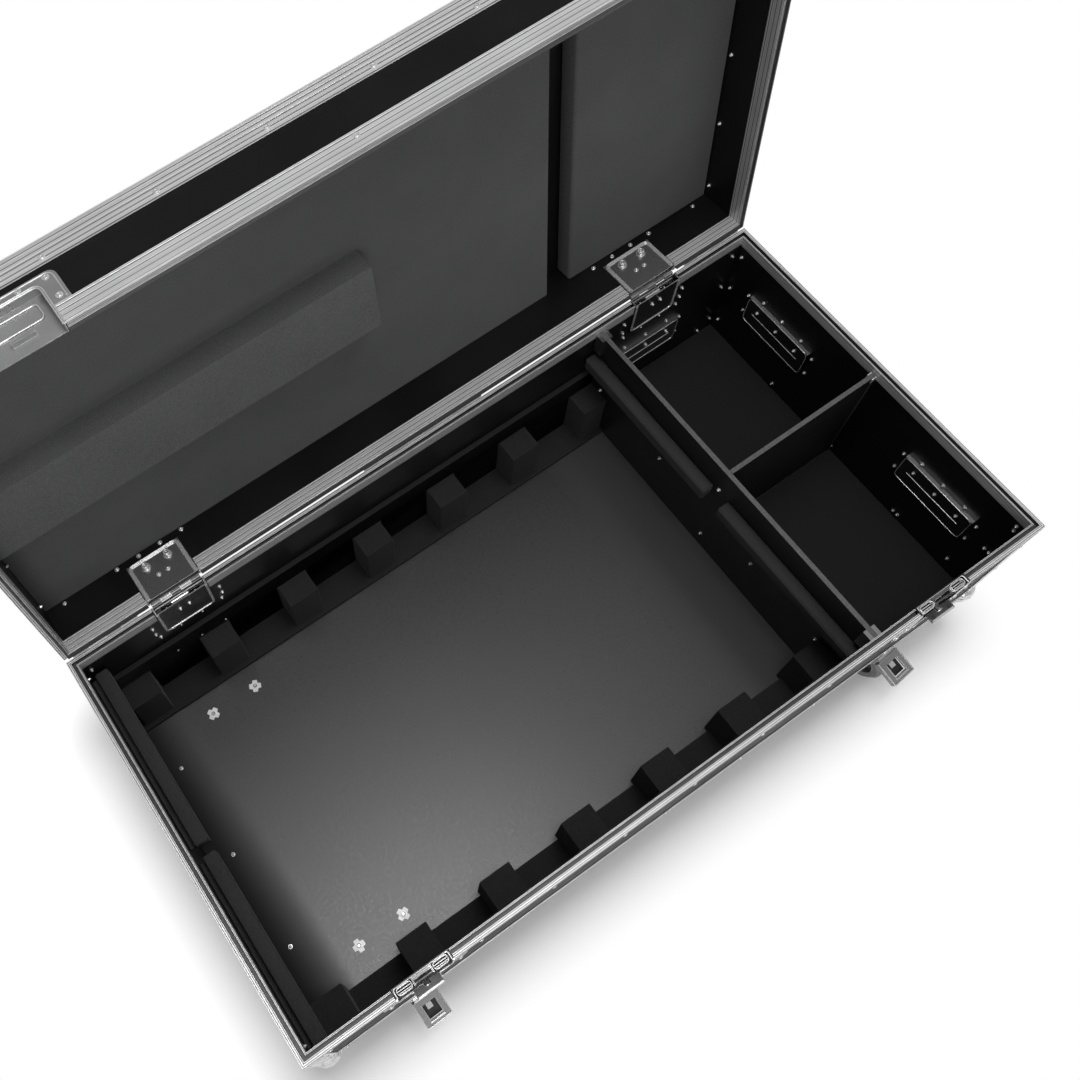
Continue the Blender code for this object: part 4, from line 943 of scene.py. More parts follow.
def rounded(corners: Sequence[Spot], radius: float, closed: bool = True, steps: int = 4) -> list[Spot]:
    """Rounds the corners of a flat outline.

    Args:
        corners: Corners of the outline in order.
        radius: Radius of each corner.
        closed: Whether the last corner joins the first; an open outline keeps its ends sharp.
        steps: Parts of each arc.

    Returns:
        The points of the rounded outline.
    """
    spots = [Vector(corner) for corner in corners]
    result = []
    for index, spot in enumerate(spots):
        if not closed and index in (0, len(spots) - 1):
            result.append((spot.x, spot.y))
            continue
        before = (spots[index - 1] - spot).normalized()
        after = (spots[(index + 1) % len(spots)] - spot).normalized()
        start, end = spot + before * radius, spot + after * radius
        for step in range(steps + 1):
            share = step / steps
            bend = start * (1 - share) ** 2 + spot * (2 * share * (1 - share)) + end * share ** 2
            result.append((bend.x, bend.y))
    return result


def box_outline(low: Spot, high: Spot, radius: float) -> list[Spot]:
    """Rounded outline of a rectangle between two corners."""
    return rounded([low, (high[0], low[1]), high, (low[0], high[1])], radius)


# Repeated parts made with Geometry Nodes

class GeometryRecipe:
    """A Geometry Nodes tree with named inputs, turned into plain meshes.

    Attributes:
        name: The tree's name.
        sizes: Its named sizes and what they are by default.
    """

    name = "recipe"
    sizes: dict[str, float] = {}

    def __init__(self) -> None:
        """Builds the tree with a geometry, a material and the named sizes as inputs."""
        tree = bpy.data.node_groups.new(self.name, "GeometryNodeTree")
        for label in ("Geometry", "Material"):
            tree.interface.new_socket(name=label, in_out="INPUT", socket_type=f"NodeSocket{label}")
        for label, default in self.sizes.items():
            kind = "NodeSocketInt" if isinstance(default, int) else "NodeSocketFloat"
            tree.interface.new_socket(name=label, in_out="INPUT", socket_type=kind).default_value = default
        tree.interface.new_socket(name="Geometry", in_out="OUTPUT", socket_type="NodeSocketGeometry")
        self.graph = Graph(tree)
        self.given = self.graph.node("NodeGroupInput").outputs
        real = self.graph.out("GeometryNodeRealizeInstances", {0: self.build()})
        inputs = {"Geometry": real, "Material": self.given["Material"]}
        self.graph.node("NodeGroupOutput", {0: self.graph.out("GeometryNodeSetMaterial", inputs)})

    def build(self) -> Socket:
        """Adds the nodes between the inputs and the result."""
        raise NotImplementedError

    def at_points(self, *parts: Socket) -> Socket:
        """Sets the joined parts on each point, their Z along the point's facing attribute."""
        join = self.graph.node("GeometryNodeJoinGeometry")
        for part in parts:
            self.graph.tree.links.new(part, join.inputs[0])
        facing = self.graph.out("GeometryNodeInputNamedAttribute", {"Name": "facing"},
                                data_type="FLOAT_VECTOR")
        turn = self.graph.out("FunctionNodeAlignRotationToVector", {"Vector": facing}, axis="Z")
        points = self.graph.out("GeometryNodeMeshToPoints", {"Mesh": self.given["Geometry"]})
        return self.graph.out("GeometryNodeInstanceOnPoints",
                              {"Points": points, "Instance": join.outputs[0], "Rotation": turn})

    def lifted(self, geometry: Socket, share: float) -> Socket:
        """Moves geometry up its own Z by a share of the named height."""
        shift = self.graph.out("ShaderNodeCombineXYZ", {2: self.tall(share)})
        return self.graph.out("GeometryNodeTransform", {"Geometry": geometry, "Translation": shift})

    def wide(self, share: float) -> Socket:
        """A share of the named radius."""
        return self.graph.times(self.given["Radius"], share)

    def tall(self, share: float) -> Socket:
        """A share of the named height."""
        return self.graph.times(self.given["Height"], share)

    def cylinder(self, sides: int, radius, depth) -> Socket:
        """Adds a closed cylinder round the origin."""
        inputs = {"Vertices": sides, "Radius": radius, "Depth": depth}
        return self.graph.out("GeometryNodeMeshCylinder", inputs)

    def circle(self, sides, radius) -> Socket:
        """Adds a circle as a curve."""
        return self.graph.out("GeometryNodeCurvePrimitiveCircle", {"Resolution": sides, "Radius": radius})

    def soft(self, geometry: Socket) -> Socket:
        """Shades geometry smooth."""
        return self.graph.out("GeometryNodeSetShadeSmooth", {"Geometry": geometry})

    def bake(self, mesh: Mesh, material: Material, **sizes: float) -> Mesh:
        """Runs the tree on a mesh.

        Args:
            mesh: Points or edges that the tree works on.
            material: Finish of the result.
            sizes: Named inputs.

        Returns:
            The plain mesh.
        """
        carrier = bpy.data.objects.new(self.name, mesh)
        modifier = carrier.modifiers.new(self.name, "NODES")
        modifier.node_group = self.graph.tree
        wanted = sizes | {"Material": material}
        for item in self.graph.tree.interface.items_tree:
            if item.in_out == "INPUT" and item.name in wanted:
                modifier[item.identifier] = wanted[item.name]
        bpy.context.scene.collection.objects.link(carrier)
        return evaluated_mesh(carrier)


class RivetRecipe(GeometryRecipe):
    """Blind rivet heads: a flange, a raised ring and the stub of the stem."""

    name = "Rivet heads"
    sizes = {"Radius": 0.0042, "Height": 0.0024}

    def build(self) -> Socket:
        """One head on each point."""
        flange = self.cylinder(12, self.given["Radius"], self.tall(0.7))
        swept = {0: self.circle(12, self.wide(0.5)), 1: self.circle(5, self.wide(0.27))}
        ring = self.soft(self.graph.out("GeometryNodeCurveToMesh", swept))
        stem = self.cylinder(6, self.wide(0.2), self.given["Height"])
        return self.at_points(flange, self.lifted(ring, 0.35), self.lifted(stem, 0.4))


class TailRecipe(GeometryRecipe):
    """The blind side of a rivet: a squeezed barrel with a rounded end."""

    name = "Rivet tails"
    sizes = {"Radius": 0.0022, "Height": 0.0032}

    def build(self) -> Socket:
        """One tail on each point."""
        barrel = self.graph.out("GeometryNodeMeshCone", {
            "Vertices": 10, "Radius Top": self.wide(0.85), "Radius Bottom": self.given["Radius"],
            "Depth": self.tall(0.7)})
        ball = {"Segments": 10, "Rings": 5, "Radius": self.wide(0.85)}
        end = self.soft(self.graph.out("GeometryNodeMeshUVSphere", ball))
        washer = self.cylinder(12, self.wide(1.45), self.tall(0.2))
        return self.at_points(washer, barrel, self.lifted(end, 0.66))


class BoltRecipe(GeometryRecipe):
    """Hexagon heads on washers."""

    name = "Hexagon bolts"
    sizes = {"Radius": 0.0065, "Height": 0.005}

    def build(self) -> Socket:
        """One head and washer on each point."""
        head = self.cylinder(6, self.given["Radius"], self.given["Height"])
        return self.at_points(self.lifted(head, 0.6), self.cylinder(20, self.wide(1.35), self.tall(0.3)))


class StudRecipe(GeometryRecipe):
    """Hollow rivets: a tall rounded tube on a thin washer."""

    name = "Hollow studs"
    sizes = {"Radius": 0.0036, "Height": 0.006}

    def build(self) -> Socket:
        """One stud on each point."""
        swept = {0: self.circle(16, self.wide(0.74)), 1: self.circle(8, self.wide(0.26))}
        ring = self.graph.out("GeometryNodeCurveToMesh", swept)
        stretch = self.graph.math("DIVIDE", self.given["Height"], self.wide(0.52))
        scale = self.graph.out("ShaderNodeCombineXYZ", {0: 1.0, 1: 1.0, 2: stretch})
        tube = self.graph.out("GeometryNodeTransform", {"Geometry": ring, "Scale": scale})
        washer = self.cylinder(16, self.wide(1.35), 0.0008)
        return self.at_points(self.lifted(self.soft(tube), 0.5), washer)


class RibRecipe(GeometryRecipe):
    """Rounded ribs swept along the edges of a mesh."""

    name = "Drawn ribs"
    sizes = {"Radius": 0.0008, "Sides": 8}

    def build(self) -> Socket:
        """One rib on each chain of edges."""
        path = self.graph.out("GeometryNodeMeshToCurve", {0: self.given["Geometry"]})
        bead = self.circle(self.given["Sides"], self.given["Radius"])
        return self.soft(self.graph.out("GeometryNodeCurveToMesh", {0: path, 1: bead, "Fill Caps": True}))


RIVETS = RivetRecipe()
TAILS = TailRecipe()
BOLTS = BoltRecipe()
STUDS = StudRecipe()
RIBS = RibRecipe()


@dataclass
class PointSet:
    """Points with the way that each faces, given on the shut case.

    Attributes:
        space: The half of the case that they belong to.
        places: The points.
        facings: The direction of each.
    """

    space: Space
    places: list[Vector] = field(default_factory=list)
    facings: list[Vector] = field(default_factory=list)

    def add(self, place: Sequence[float], facing: Sequence[float]) -> None:
        """Adds one point."""
        self.places.append(self.space.place(place))
        self.facings.append(self.space.aim(facing))

    def mesh(self) -> Mesh:
        """Mesh of loose points with their facing attribute."""
        mesh = bpy.data.meshes.new("points")
        mesh.from_pydata([tuple(place) for place in self.places], [], [])
        layer = mesh.attributes.new("facing", "FLOAT_VECTOR", "POINT")
        layer.data.foreach_set("vector", [part for facing in self.facings for part in facing])
        return mesh


@dataclass
class PathSet:
    """Straight or closed paths, given on the shut case.

    Attributes:
        space: The half of the case that they belong to.
        points: Corners of every path.
        edges: Pairs of corners.
    """

    space: Space
    points: list[Vector] = field(default_factory=list)
    edges: list[tuple[int, int]] = field(default_factory=list)

    def add(self, corners: Sequence[Sequence[float]], closed: bool = False) -> None:
        """Adds one path through its corners."""
        first = len(self.points)
        self.points += [self.space.place(corner) for corner in corners]
        steps = len(corners) - 1
        self.edges += [(first + step, first + step + 1) for step in range(steps)]
        if closed:
            self.edges.append((first + steps, first))

    def add_on_wall(self, wall: Wall, distance: float, outline: Sequence[Spot], closed: bool = True) -> None:
        """Adds an outline of (along, level) beside a wall, at a distance from the case's middle."""
        self.add([wall.place(distance, along, level) for along, level in outline], closed)

    def add_flat(self, z: float, outline: Sequence[Spot], closed: bool = True) -> None:
        """Adds an outline of (x, y) at one height."""
        self.add([(x, y, z) for x, y in outline], closed)

    def mesh(self) -> Mesh:
        """Mesh of the paths' edges."""
        mesh = bpy.data.meshes.new("paths")
        mesh.from_pydata([tuple(point) for point in self.points], self.edges, [])
        return mesh


class Palette:
    """Every finish of the case, built once."""

    def __init__(self) -> None:
        """Builds the finishes."""
        crown_depth = 0.0004
        crowns = [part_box(board)[1].z - crown_depth for board in ("divider", "cross_partition")]
        # Blocks in which inner metal gets painted shade: the latch dishes, and the handle and hinge dishes.
        latch_shade, dish_shade = (1.0, CASE.half_depth - 0.0007), (CASE.half_length - 0.0015, 1.0)
        self.panel_base = PanelFinish("laminate_base", Space.BASE).material
        self.panel_back = PanelFinish("laminate_back", Space.BASE, self.back_pressings()).material
        self.panel_lid = PanelFinish("laminate_lid", Space.LID).material
        self.floor = FloorFinish("floor_board").material
        self.rim_base = ExtrusionFinish("extrusion_base", Space.BASE).material
        self.rim_lid = ExtrusionFinish("extrusion_lid", Space.LID).material
        self.zinc = MetalFinish("zinc_plate", ZINC).material
        self.zinc_lid = MetalFinish("zinc_plate_lid", ZINC, Space.LID).material
        self.latch_zinc_painted_shade = MetalFinish("latch_zinc_painted_shade", ZINC, shade=latch_shade, limit=0.28).material
        self.dish_zinc_painted_shade = MetalFinish("dish_zinc_painted_shade", ZINC, shade=dish_shade).material
        self.rivet = MetalFinish("rivet_steel", RIVET_STEEL).material
        self.rivet_lid = MetalFinish("rivet_steel_lid", RIVET_STEEL, Space.LID).material
        self.divider = GrainFinish("painted_divider", PAINTED_PLY, metal=self.divider_channels(),
                                   crown=crowns[0]).material
        self.partition = GrainFinish("painted_partition", PAINTED_PLY, crown=crowns[1]).material
        self.bay_mat = GrainFinish("bay_mat", BAY_MAT, grain=800.0, depth=0.0003).material
        self.lid_foam = FoamFinish("lid_foam", LID_FOAM, Space.LID).material
        self.cradle_foam = FoamFinish("cradle_foam", CRADLE_FOAM).material
        self.pad_foam = FoamFinish("pad_foam", PAD_FOAM).material
        self.rubber = GrainFinish("black_rubber", BLACK_RUBBER, grain=600.0, depth=0.0002).material
        self.plastic = GrainFinish("painted_hole_shade", PAINTED_HOLE_SHADE, grain=300.0, depth=0.0001).material
        self.dull_zinc = MetalFinish("dull_zinc", DULL_ZINC).material
        self.plate_zinc_lid = MetalFinish("plate_zinc_lid", PLATE_ZINC, Space.LID).material
        self.dark_zinc = MetalFinish("dark_zinc", DARK_ZINC).material
        self.hollow = MetalFinish("hollow", PAINTED_DEEP_SHADE).material
        self.nut_zinc = MetalFinish("nut_zinc", NUT_ZINC).material

    @staticmethod
    def back_pressings() -> list[Block]:
        """Metal areas of the back panel: the flanges and trays of its two handle dishes."""
        flange_half, tray_half = (0.078, 0.0017, 0.045), (0.0652, 0.02, 0.0308)
        tray_floor, tray_middle = 0.017, 0.011
        blocks = []
        for side in SIDES:
            for depth, half in ((0.0, flange_half), (tray_floor, flange_half), (tray_middle, tray_half)):
                blocks.append(((side * CASE.dish_x, CASE.half_depth - depth, CASE.back_handle_z), half))
        return blocks

    @staticmethod
    def divider_channels() -> list[Block]:
        """Metal areas of the divider: the legs of its two wall channels."""
        low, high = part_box("divider")
        width, thick, leg_half, overlap, lip = 0.0155, 0.0036, 0.003, 0.0005, 0.0007
        half = (leg_half, width / 2 + overlap, 1.0)
        faces = (low.x + thick - lip, high.x - thick + lip)
        return [((x, side * (high.y - width / 2), 0.0), half) for side in SIDES for x in faces]


def dress(nodes: Iterable[str], material: Material) -> None:
    """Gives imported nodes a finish."""
    for node in nodes:
        for slot in frame["nodes"][node].material_slots:
            slot.material = material
        LOG.info("%s dressed with %s", node, material.name)


# Sub-assemblies

@dataclass
class Assembly:
    """What every sub-assembly shares.

    Attributes:
        paint: The finishes.
    """

    paint: Palette

    def repeat(self, name: str, recipe: GeometryRecipe, marks: PointSet | PathSet,
               material: Material | None = None, body: str = "", slot: str = "zinc", **sizes: float) -> None:
        """Adds one piece that a recipe makes on points or paths.

        Args:
            name: The piece's name.
            recipe: What is made on each point or path.
            marks: The points or paths.
            material: Its finish; rivet steel where none is given.
            body: The body that it rides on; the marks' half of the case where none is given.
            slot: The record's material slot; not used.
            sizes: Named inputs of the recipe.
        """
        steel = self.paint.rivet_lid if marks.space is Space.LID else self.paint.rivet
        finish = material or steel
        new_piece(name, recipe.bake(marks.mesh(), finish, **sizes), body or marks.space.value, finish)

    def solid(self, name: str, work: Work, material: Material, body: str = "base") -> None:
        """Adds one piece from a working mesh, smooth except at its sharp edges."""
        new_piece(name, smoothed(mesh_from(work)), body, material)

    def build(self) -> None:
        """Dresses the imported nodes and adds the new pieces."""
        raise NotImplementedError


@dataclass
class Shell(Assembly):
    """The rims and edge angles that both halves of the case have.

    Attributes:
        rib_radius: Radius of a drawn rib.
        rib_sink: How deep a rib's middle lies in the face.
        rib_gap: From the middle of a dish to the ribs beside it.
        rib_rows: From the closing plane to the rim's ribs.
        knuckle_row: At the back, the ends of any row nearer than this are left to the piano hinge.
        upright_inset: From a corner to the upright's rivets.
    """

    rib_radius: float = 0.0009
    rib_sink: float = 0.0005
    rib_gap: float = 0.0445
    rib_rows: tuple[float, ...] = (0.003, 0.0105, 0.0255)
    knuckle_row: float = 0.008
    upright_inset: float = 0.0215

    @property
    def rib_reach(self) -> Spot:
        """Half length and half depth of the planes that the ribs lie on."""
        return CASE.half_length - self.rib_sink, CASE.half_depth - self.rib_sink

    def add_ring(self, paths: PathSet, x: float, y: float, level: float) -> None:
        """Adds a rib all round the case."""
        paths.add_flat(level, [(-x, -y), (x, -y), (x, y), (-x, y)])

    def add_rim_ribs(self, paths: PathSet, way: int) -> None:
        """Adds the rim's ribs, which stop at the dishes.

        Args:
            paths: Paths that they are added to.
            way: 1 for above the closing plane, -1 for below it.
        """
        long, deep = self.rib_reach
        near, far = CASE.dish_x - self.rib_gap, CASE.dish_x + self.rib_gap
        for row in self.rib_rows:
            level = CASE.rim + way * row
            for side in SIDES:
                paths.add_flat(level, [(-near, side * deep), (near, side * deep)], False)
                if side > 0 and row < self.knuckle_row:
                    continue
                for end in SIDES:
                    paths.add_flat(level, [(end * far, side * deep), (end * long, side * deep)], False)
            for end in SIDES:
                paths.add_flat(level, [(end * long, -deep), (end * long, deep)], False)


@dataclass
class BaseShell(Shell):
    """Walls, floor, rims and edge angles of the base with their rivets and ribs.

    Attributes:
        rim_rivet_drop: From the closing plane down to the rim's rivets.
        rim_rivet_pitch: Spacing of the rim's rivets.
        dish_clear: Half width that the rim's rivets keep free round each dish.
        edge_rivet_pitch: Spacing of the bottom edge's rivets.
        edge_rivet_lift: Height of the bottom edge's rivets.
        end_clear: Nearest that a row of rivets comes to a corner.
        upright_heights: Heights of the upright's rivets.
        floor_tails: Places of the rivet tails that show on the floor beside the left pads.
        edge_rows: Heights of the bottom edge's ribs.
        upright_rows: From a corner to the upright's ribs.
        upright_low: Height where the upright's ribs start.
        upright_drop: From the closing plane down to where they end.
    """

    rim_rivet_drop: float = 0.0205
    rim_rivet_pitch: float = 0.1125
    dish_clear: float = 0.075
    edge_rivet_pitch: float = 0.139
    edge_rivet_lift: float = 0.0235
    end_clear: float = 0.03
    upright_heights: tuple[float, ...] = (0.042, 0.141, 0.230)
    floor_tails: tuple[Spot, ...] = ((-0.555, 0.158), (-0.555, 0.006), (-0.553, -0.148))
    edge_rows: tuple[float, ...] = (0.0030, 0.0120, 0.0300)
    upright_rows: tuple[float, ...] = (0.010, 0.0285)
    upright_low: float = 0.034
    upright_drop: float = 0.030

    def wall_points(self, wall: Wall, pitch: float, clear: float = 0.0) -> list[float]:
        """Even places along a wall, short of its corners and clear of the rim dishes where asked."""
        count = int(wall.span / pitch)
        places = [step * pitch for step in range(-count, count + 1)]
        return [place for place in places
                if abs(place) < wall.span - self.end_clear and abs(abs(place) - CASE.dish_x) > clear]

    def make_rivets(self) -> None:
        """Rivets of the rims, the bottom edge and the uprights."""
        heads, tails = PointSet(Space.BASE), PointSet(Space.BASE)
        for wall in [Wall(on_end, side) for side in SIDES for on_end in (False, True)]:
            for along in self.wall_points(wall, self.rim_rivet_pitch, self.dish_clear):
                wall.head(heads, along, CASE.rim - self.rim_rivet_drop)
            row = self.wall_points(wall, self.edge_rivet_pitch)
            through = [(along, self.edge_rivet_lift) for along in row]
            corner = wall.span - self.upright_inset
            through += [(end * corner, level) for end in SIDES for level in self.upright_heights]
            for along, level in through:
                wall.head(heads, along, level)
                wall.tail(tails, along, level)
        for x, y in self.floor_tails:
            tails.add((x, y, CASE.wall), (0, 0, 1))
        self.repeat("base_rivet_heads", RIVETS, heads)
        self.repeat("base_rivet_tails", TAILS, tails)

    def make_ribs(self) -> None:
        """Drawn ribs on the outer faces of the rims and edge angles."""
        paths = PathSet(Space.BASE)
        self.add_rim_ribs(paths, -1)
        long, deep = self.rib_reach
        for level in self.edge_rows:
            self.add_ring(paths, long, deep, level)
        high = CASE.rim - self.upright_drop
        for x_side in SIDES:
            for y_side in SIDES:
                for inset in self.upright_rows:
                    on_end = x_side * long, y_side * (deep - inset)
                    on_front = x_side * (long - inset), y_side * deep
                    for x, y in (on_end, on_front):
                        paths.add([(x, y, self.upright_low), (x, y, high)])
        self.repeat("base_ribs", RIBS, paths, self.paint.rim_base, slot="aluminium", Radius=self.rib_radius)

    def build(self) -> None:
        """Dresses the shell and adds its rivets and ribs."""
        dress(["front_panel", "left_panel", "right_panel"], self.paint.panel_base)
        dress(["back_panel"], self.paint.panel_back)
        dress(["floor_panel"], self.paint.floor)
        rims = [f"base_rim_{side}" for side in ("front", "back", "left", "right")]
        dress(rims + ["base_edging"], self.paint.rim_base)
        self.make_rivets()
        self.make_ribs()


@dataclass
class LidShell(Shell):
    """Lid walls, top, rims and edge angles with their rivets and ribs.

    Attributes:
        edge_rivet_start: A rivet of the lid's edge, from the middle.
        edge_rivet_pitch: Spacing of the edge's rivets.
        edge_rivet_level: Height of those rivets above the closing plane.
        end_rivets: Rivets of the edge along an end.
        top_inset: From the outside in to the rivets of the lid's top.
        rim_rivet_lift: Height of the rim's rivets.
        rim_rivets: Rivets of the front and back rims.
        end_rim_rivets: Rivets of the end rims.
        upright_lifts: Heights of the uprights' rivets.
        tail_lift: Height of the tails inside.
        corner_tails: Tails nearest a corner, along the front and along an end.
        end_tails: The other tails of an end.
        edge_rows: Heights of the edge angle's ribs.
        top_rows: From the outside in to the ribs of the lid's top.
    """

    edge_rivet_start: float = 0.056
    edge_rivet_pitch: float = 0.139
    edge_rivet_level: float = 0.0925
    end_rivets: tuple[float, ...] = (-0.2, -0.067, 0.067, 0.2)
    top_inset: float = 0.024
    rim_rivet_lift: float = 0.019
    rim_rivets: tuple[float, ...] = (-0.545, -0.015, 0.545)
    end_rim_rivets: tuple[float, ...] = (-0.2, 0.0, 0.2)
    upright_lifts: tuple[float, ...] = (0.045, 0.072)
    tail_lift: float = 0.070
    corner_tails: Spot = (0.560, 0.262)
    end_tails: tuple[float, ...] = (-0.13, 0.0, 0.13)
    edge_rows: tuple[float, ...] = (0.0855, 0.1000, 0.1075, 0.1145)
    top_rows: tuple[float, ...] = (0.004, 0.012, 0.033)

    def make_rivets(self) -> None:
        """Rivets of the edge angle, the rims and the uprights."""
        heads, tails = PointSet(Space.LID), PointSet(Space.LID)
        level, top = CASE.rim + self.edge_rivet_level, CASE.rim + CASE.lid_top
        edge_row = [self.edge_rivet_start + step * self.edge_rivet_pitch for step in range(-4, 4)]
        for side in SIDES:
            walls = Wall(False, side), Wall(True, side)
            for wall, row in zip(walls, (edge_row, self.end_rivets)):
                for along in row:
                    wall.head(heads, along, level)
                    heads.add(wall.place(wall.outer - self.top_inset, along, top), (0, 0, 1))
            for wall, row in zip(walls, (self.rim_rivets, self.end_rim_rivets)):
                for along in row:
                    wall.head(heads, along, CASE.rim + self.rim_rivet_lift)
            for end in SIDES:
                for lift in self.upright_lifts:
                    for wall in walls:
                        wall.head(heads, end * (wall.span - self.upright_inset), CASE.rim + lift)
                for wall, along in zip(walls, self.corner_tails):
                    wall.tail(tails, end * along, CASE.rim + self.tail_lift)
            for along in self.end_tails:
                walls[1].tail(tails, along, CASE.rim + self.tail_lift)
        self.repeat("lid_rivet_heads", RIVETS, heads)
        self.repeat("lid_rivet_tails", TAILS, tails)

    def make_ribs(self) -> None:
        """Drawn ribs on the outer faces of the lid's rims and edge angles."""
        paths = PathSet(Space.LID)
        self.add_rim_ribs(paths, 1)
        for lift in self.edge_rows:
            self.add_ring(paths, *self.rib_reach, CASE.rim + lift)
        top = CASE.rim + CASE.lid_top - self.rib_sink
        for inset in self.top_rows:
            self.add_ring(paths, CASE.half_length - inset, CASE.half_depth - inset, top)
        self.repeat("lid_ribs", RIBS, paths, self.paint.rim_lid, slot="aluminium", Radius=self.rib_radius)

    def build(self) -> None:
        """Dresses the shell and adds its rivets and ribs."""
        dress(["lid_top_panel", "lid_wall_frame"], self.paint.panel_lid)
        rims = [f"lid_rim_{side}" for side in ("front", "back", "left", "right")]
        dress(rims + ["lid_edging"], self.paint.rim_lid)
        self.make_rivets()
        self.make_ribs()


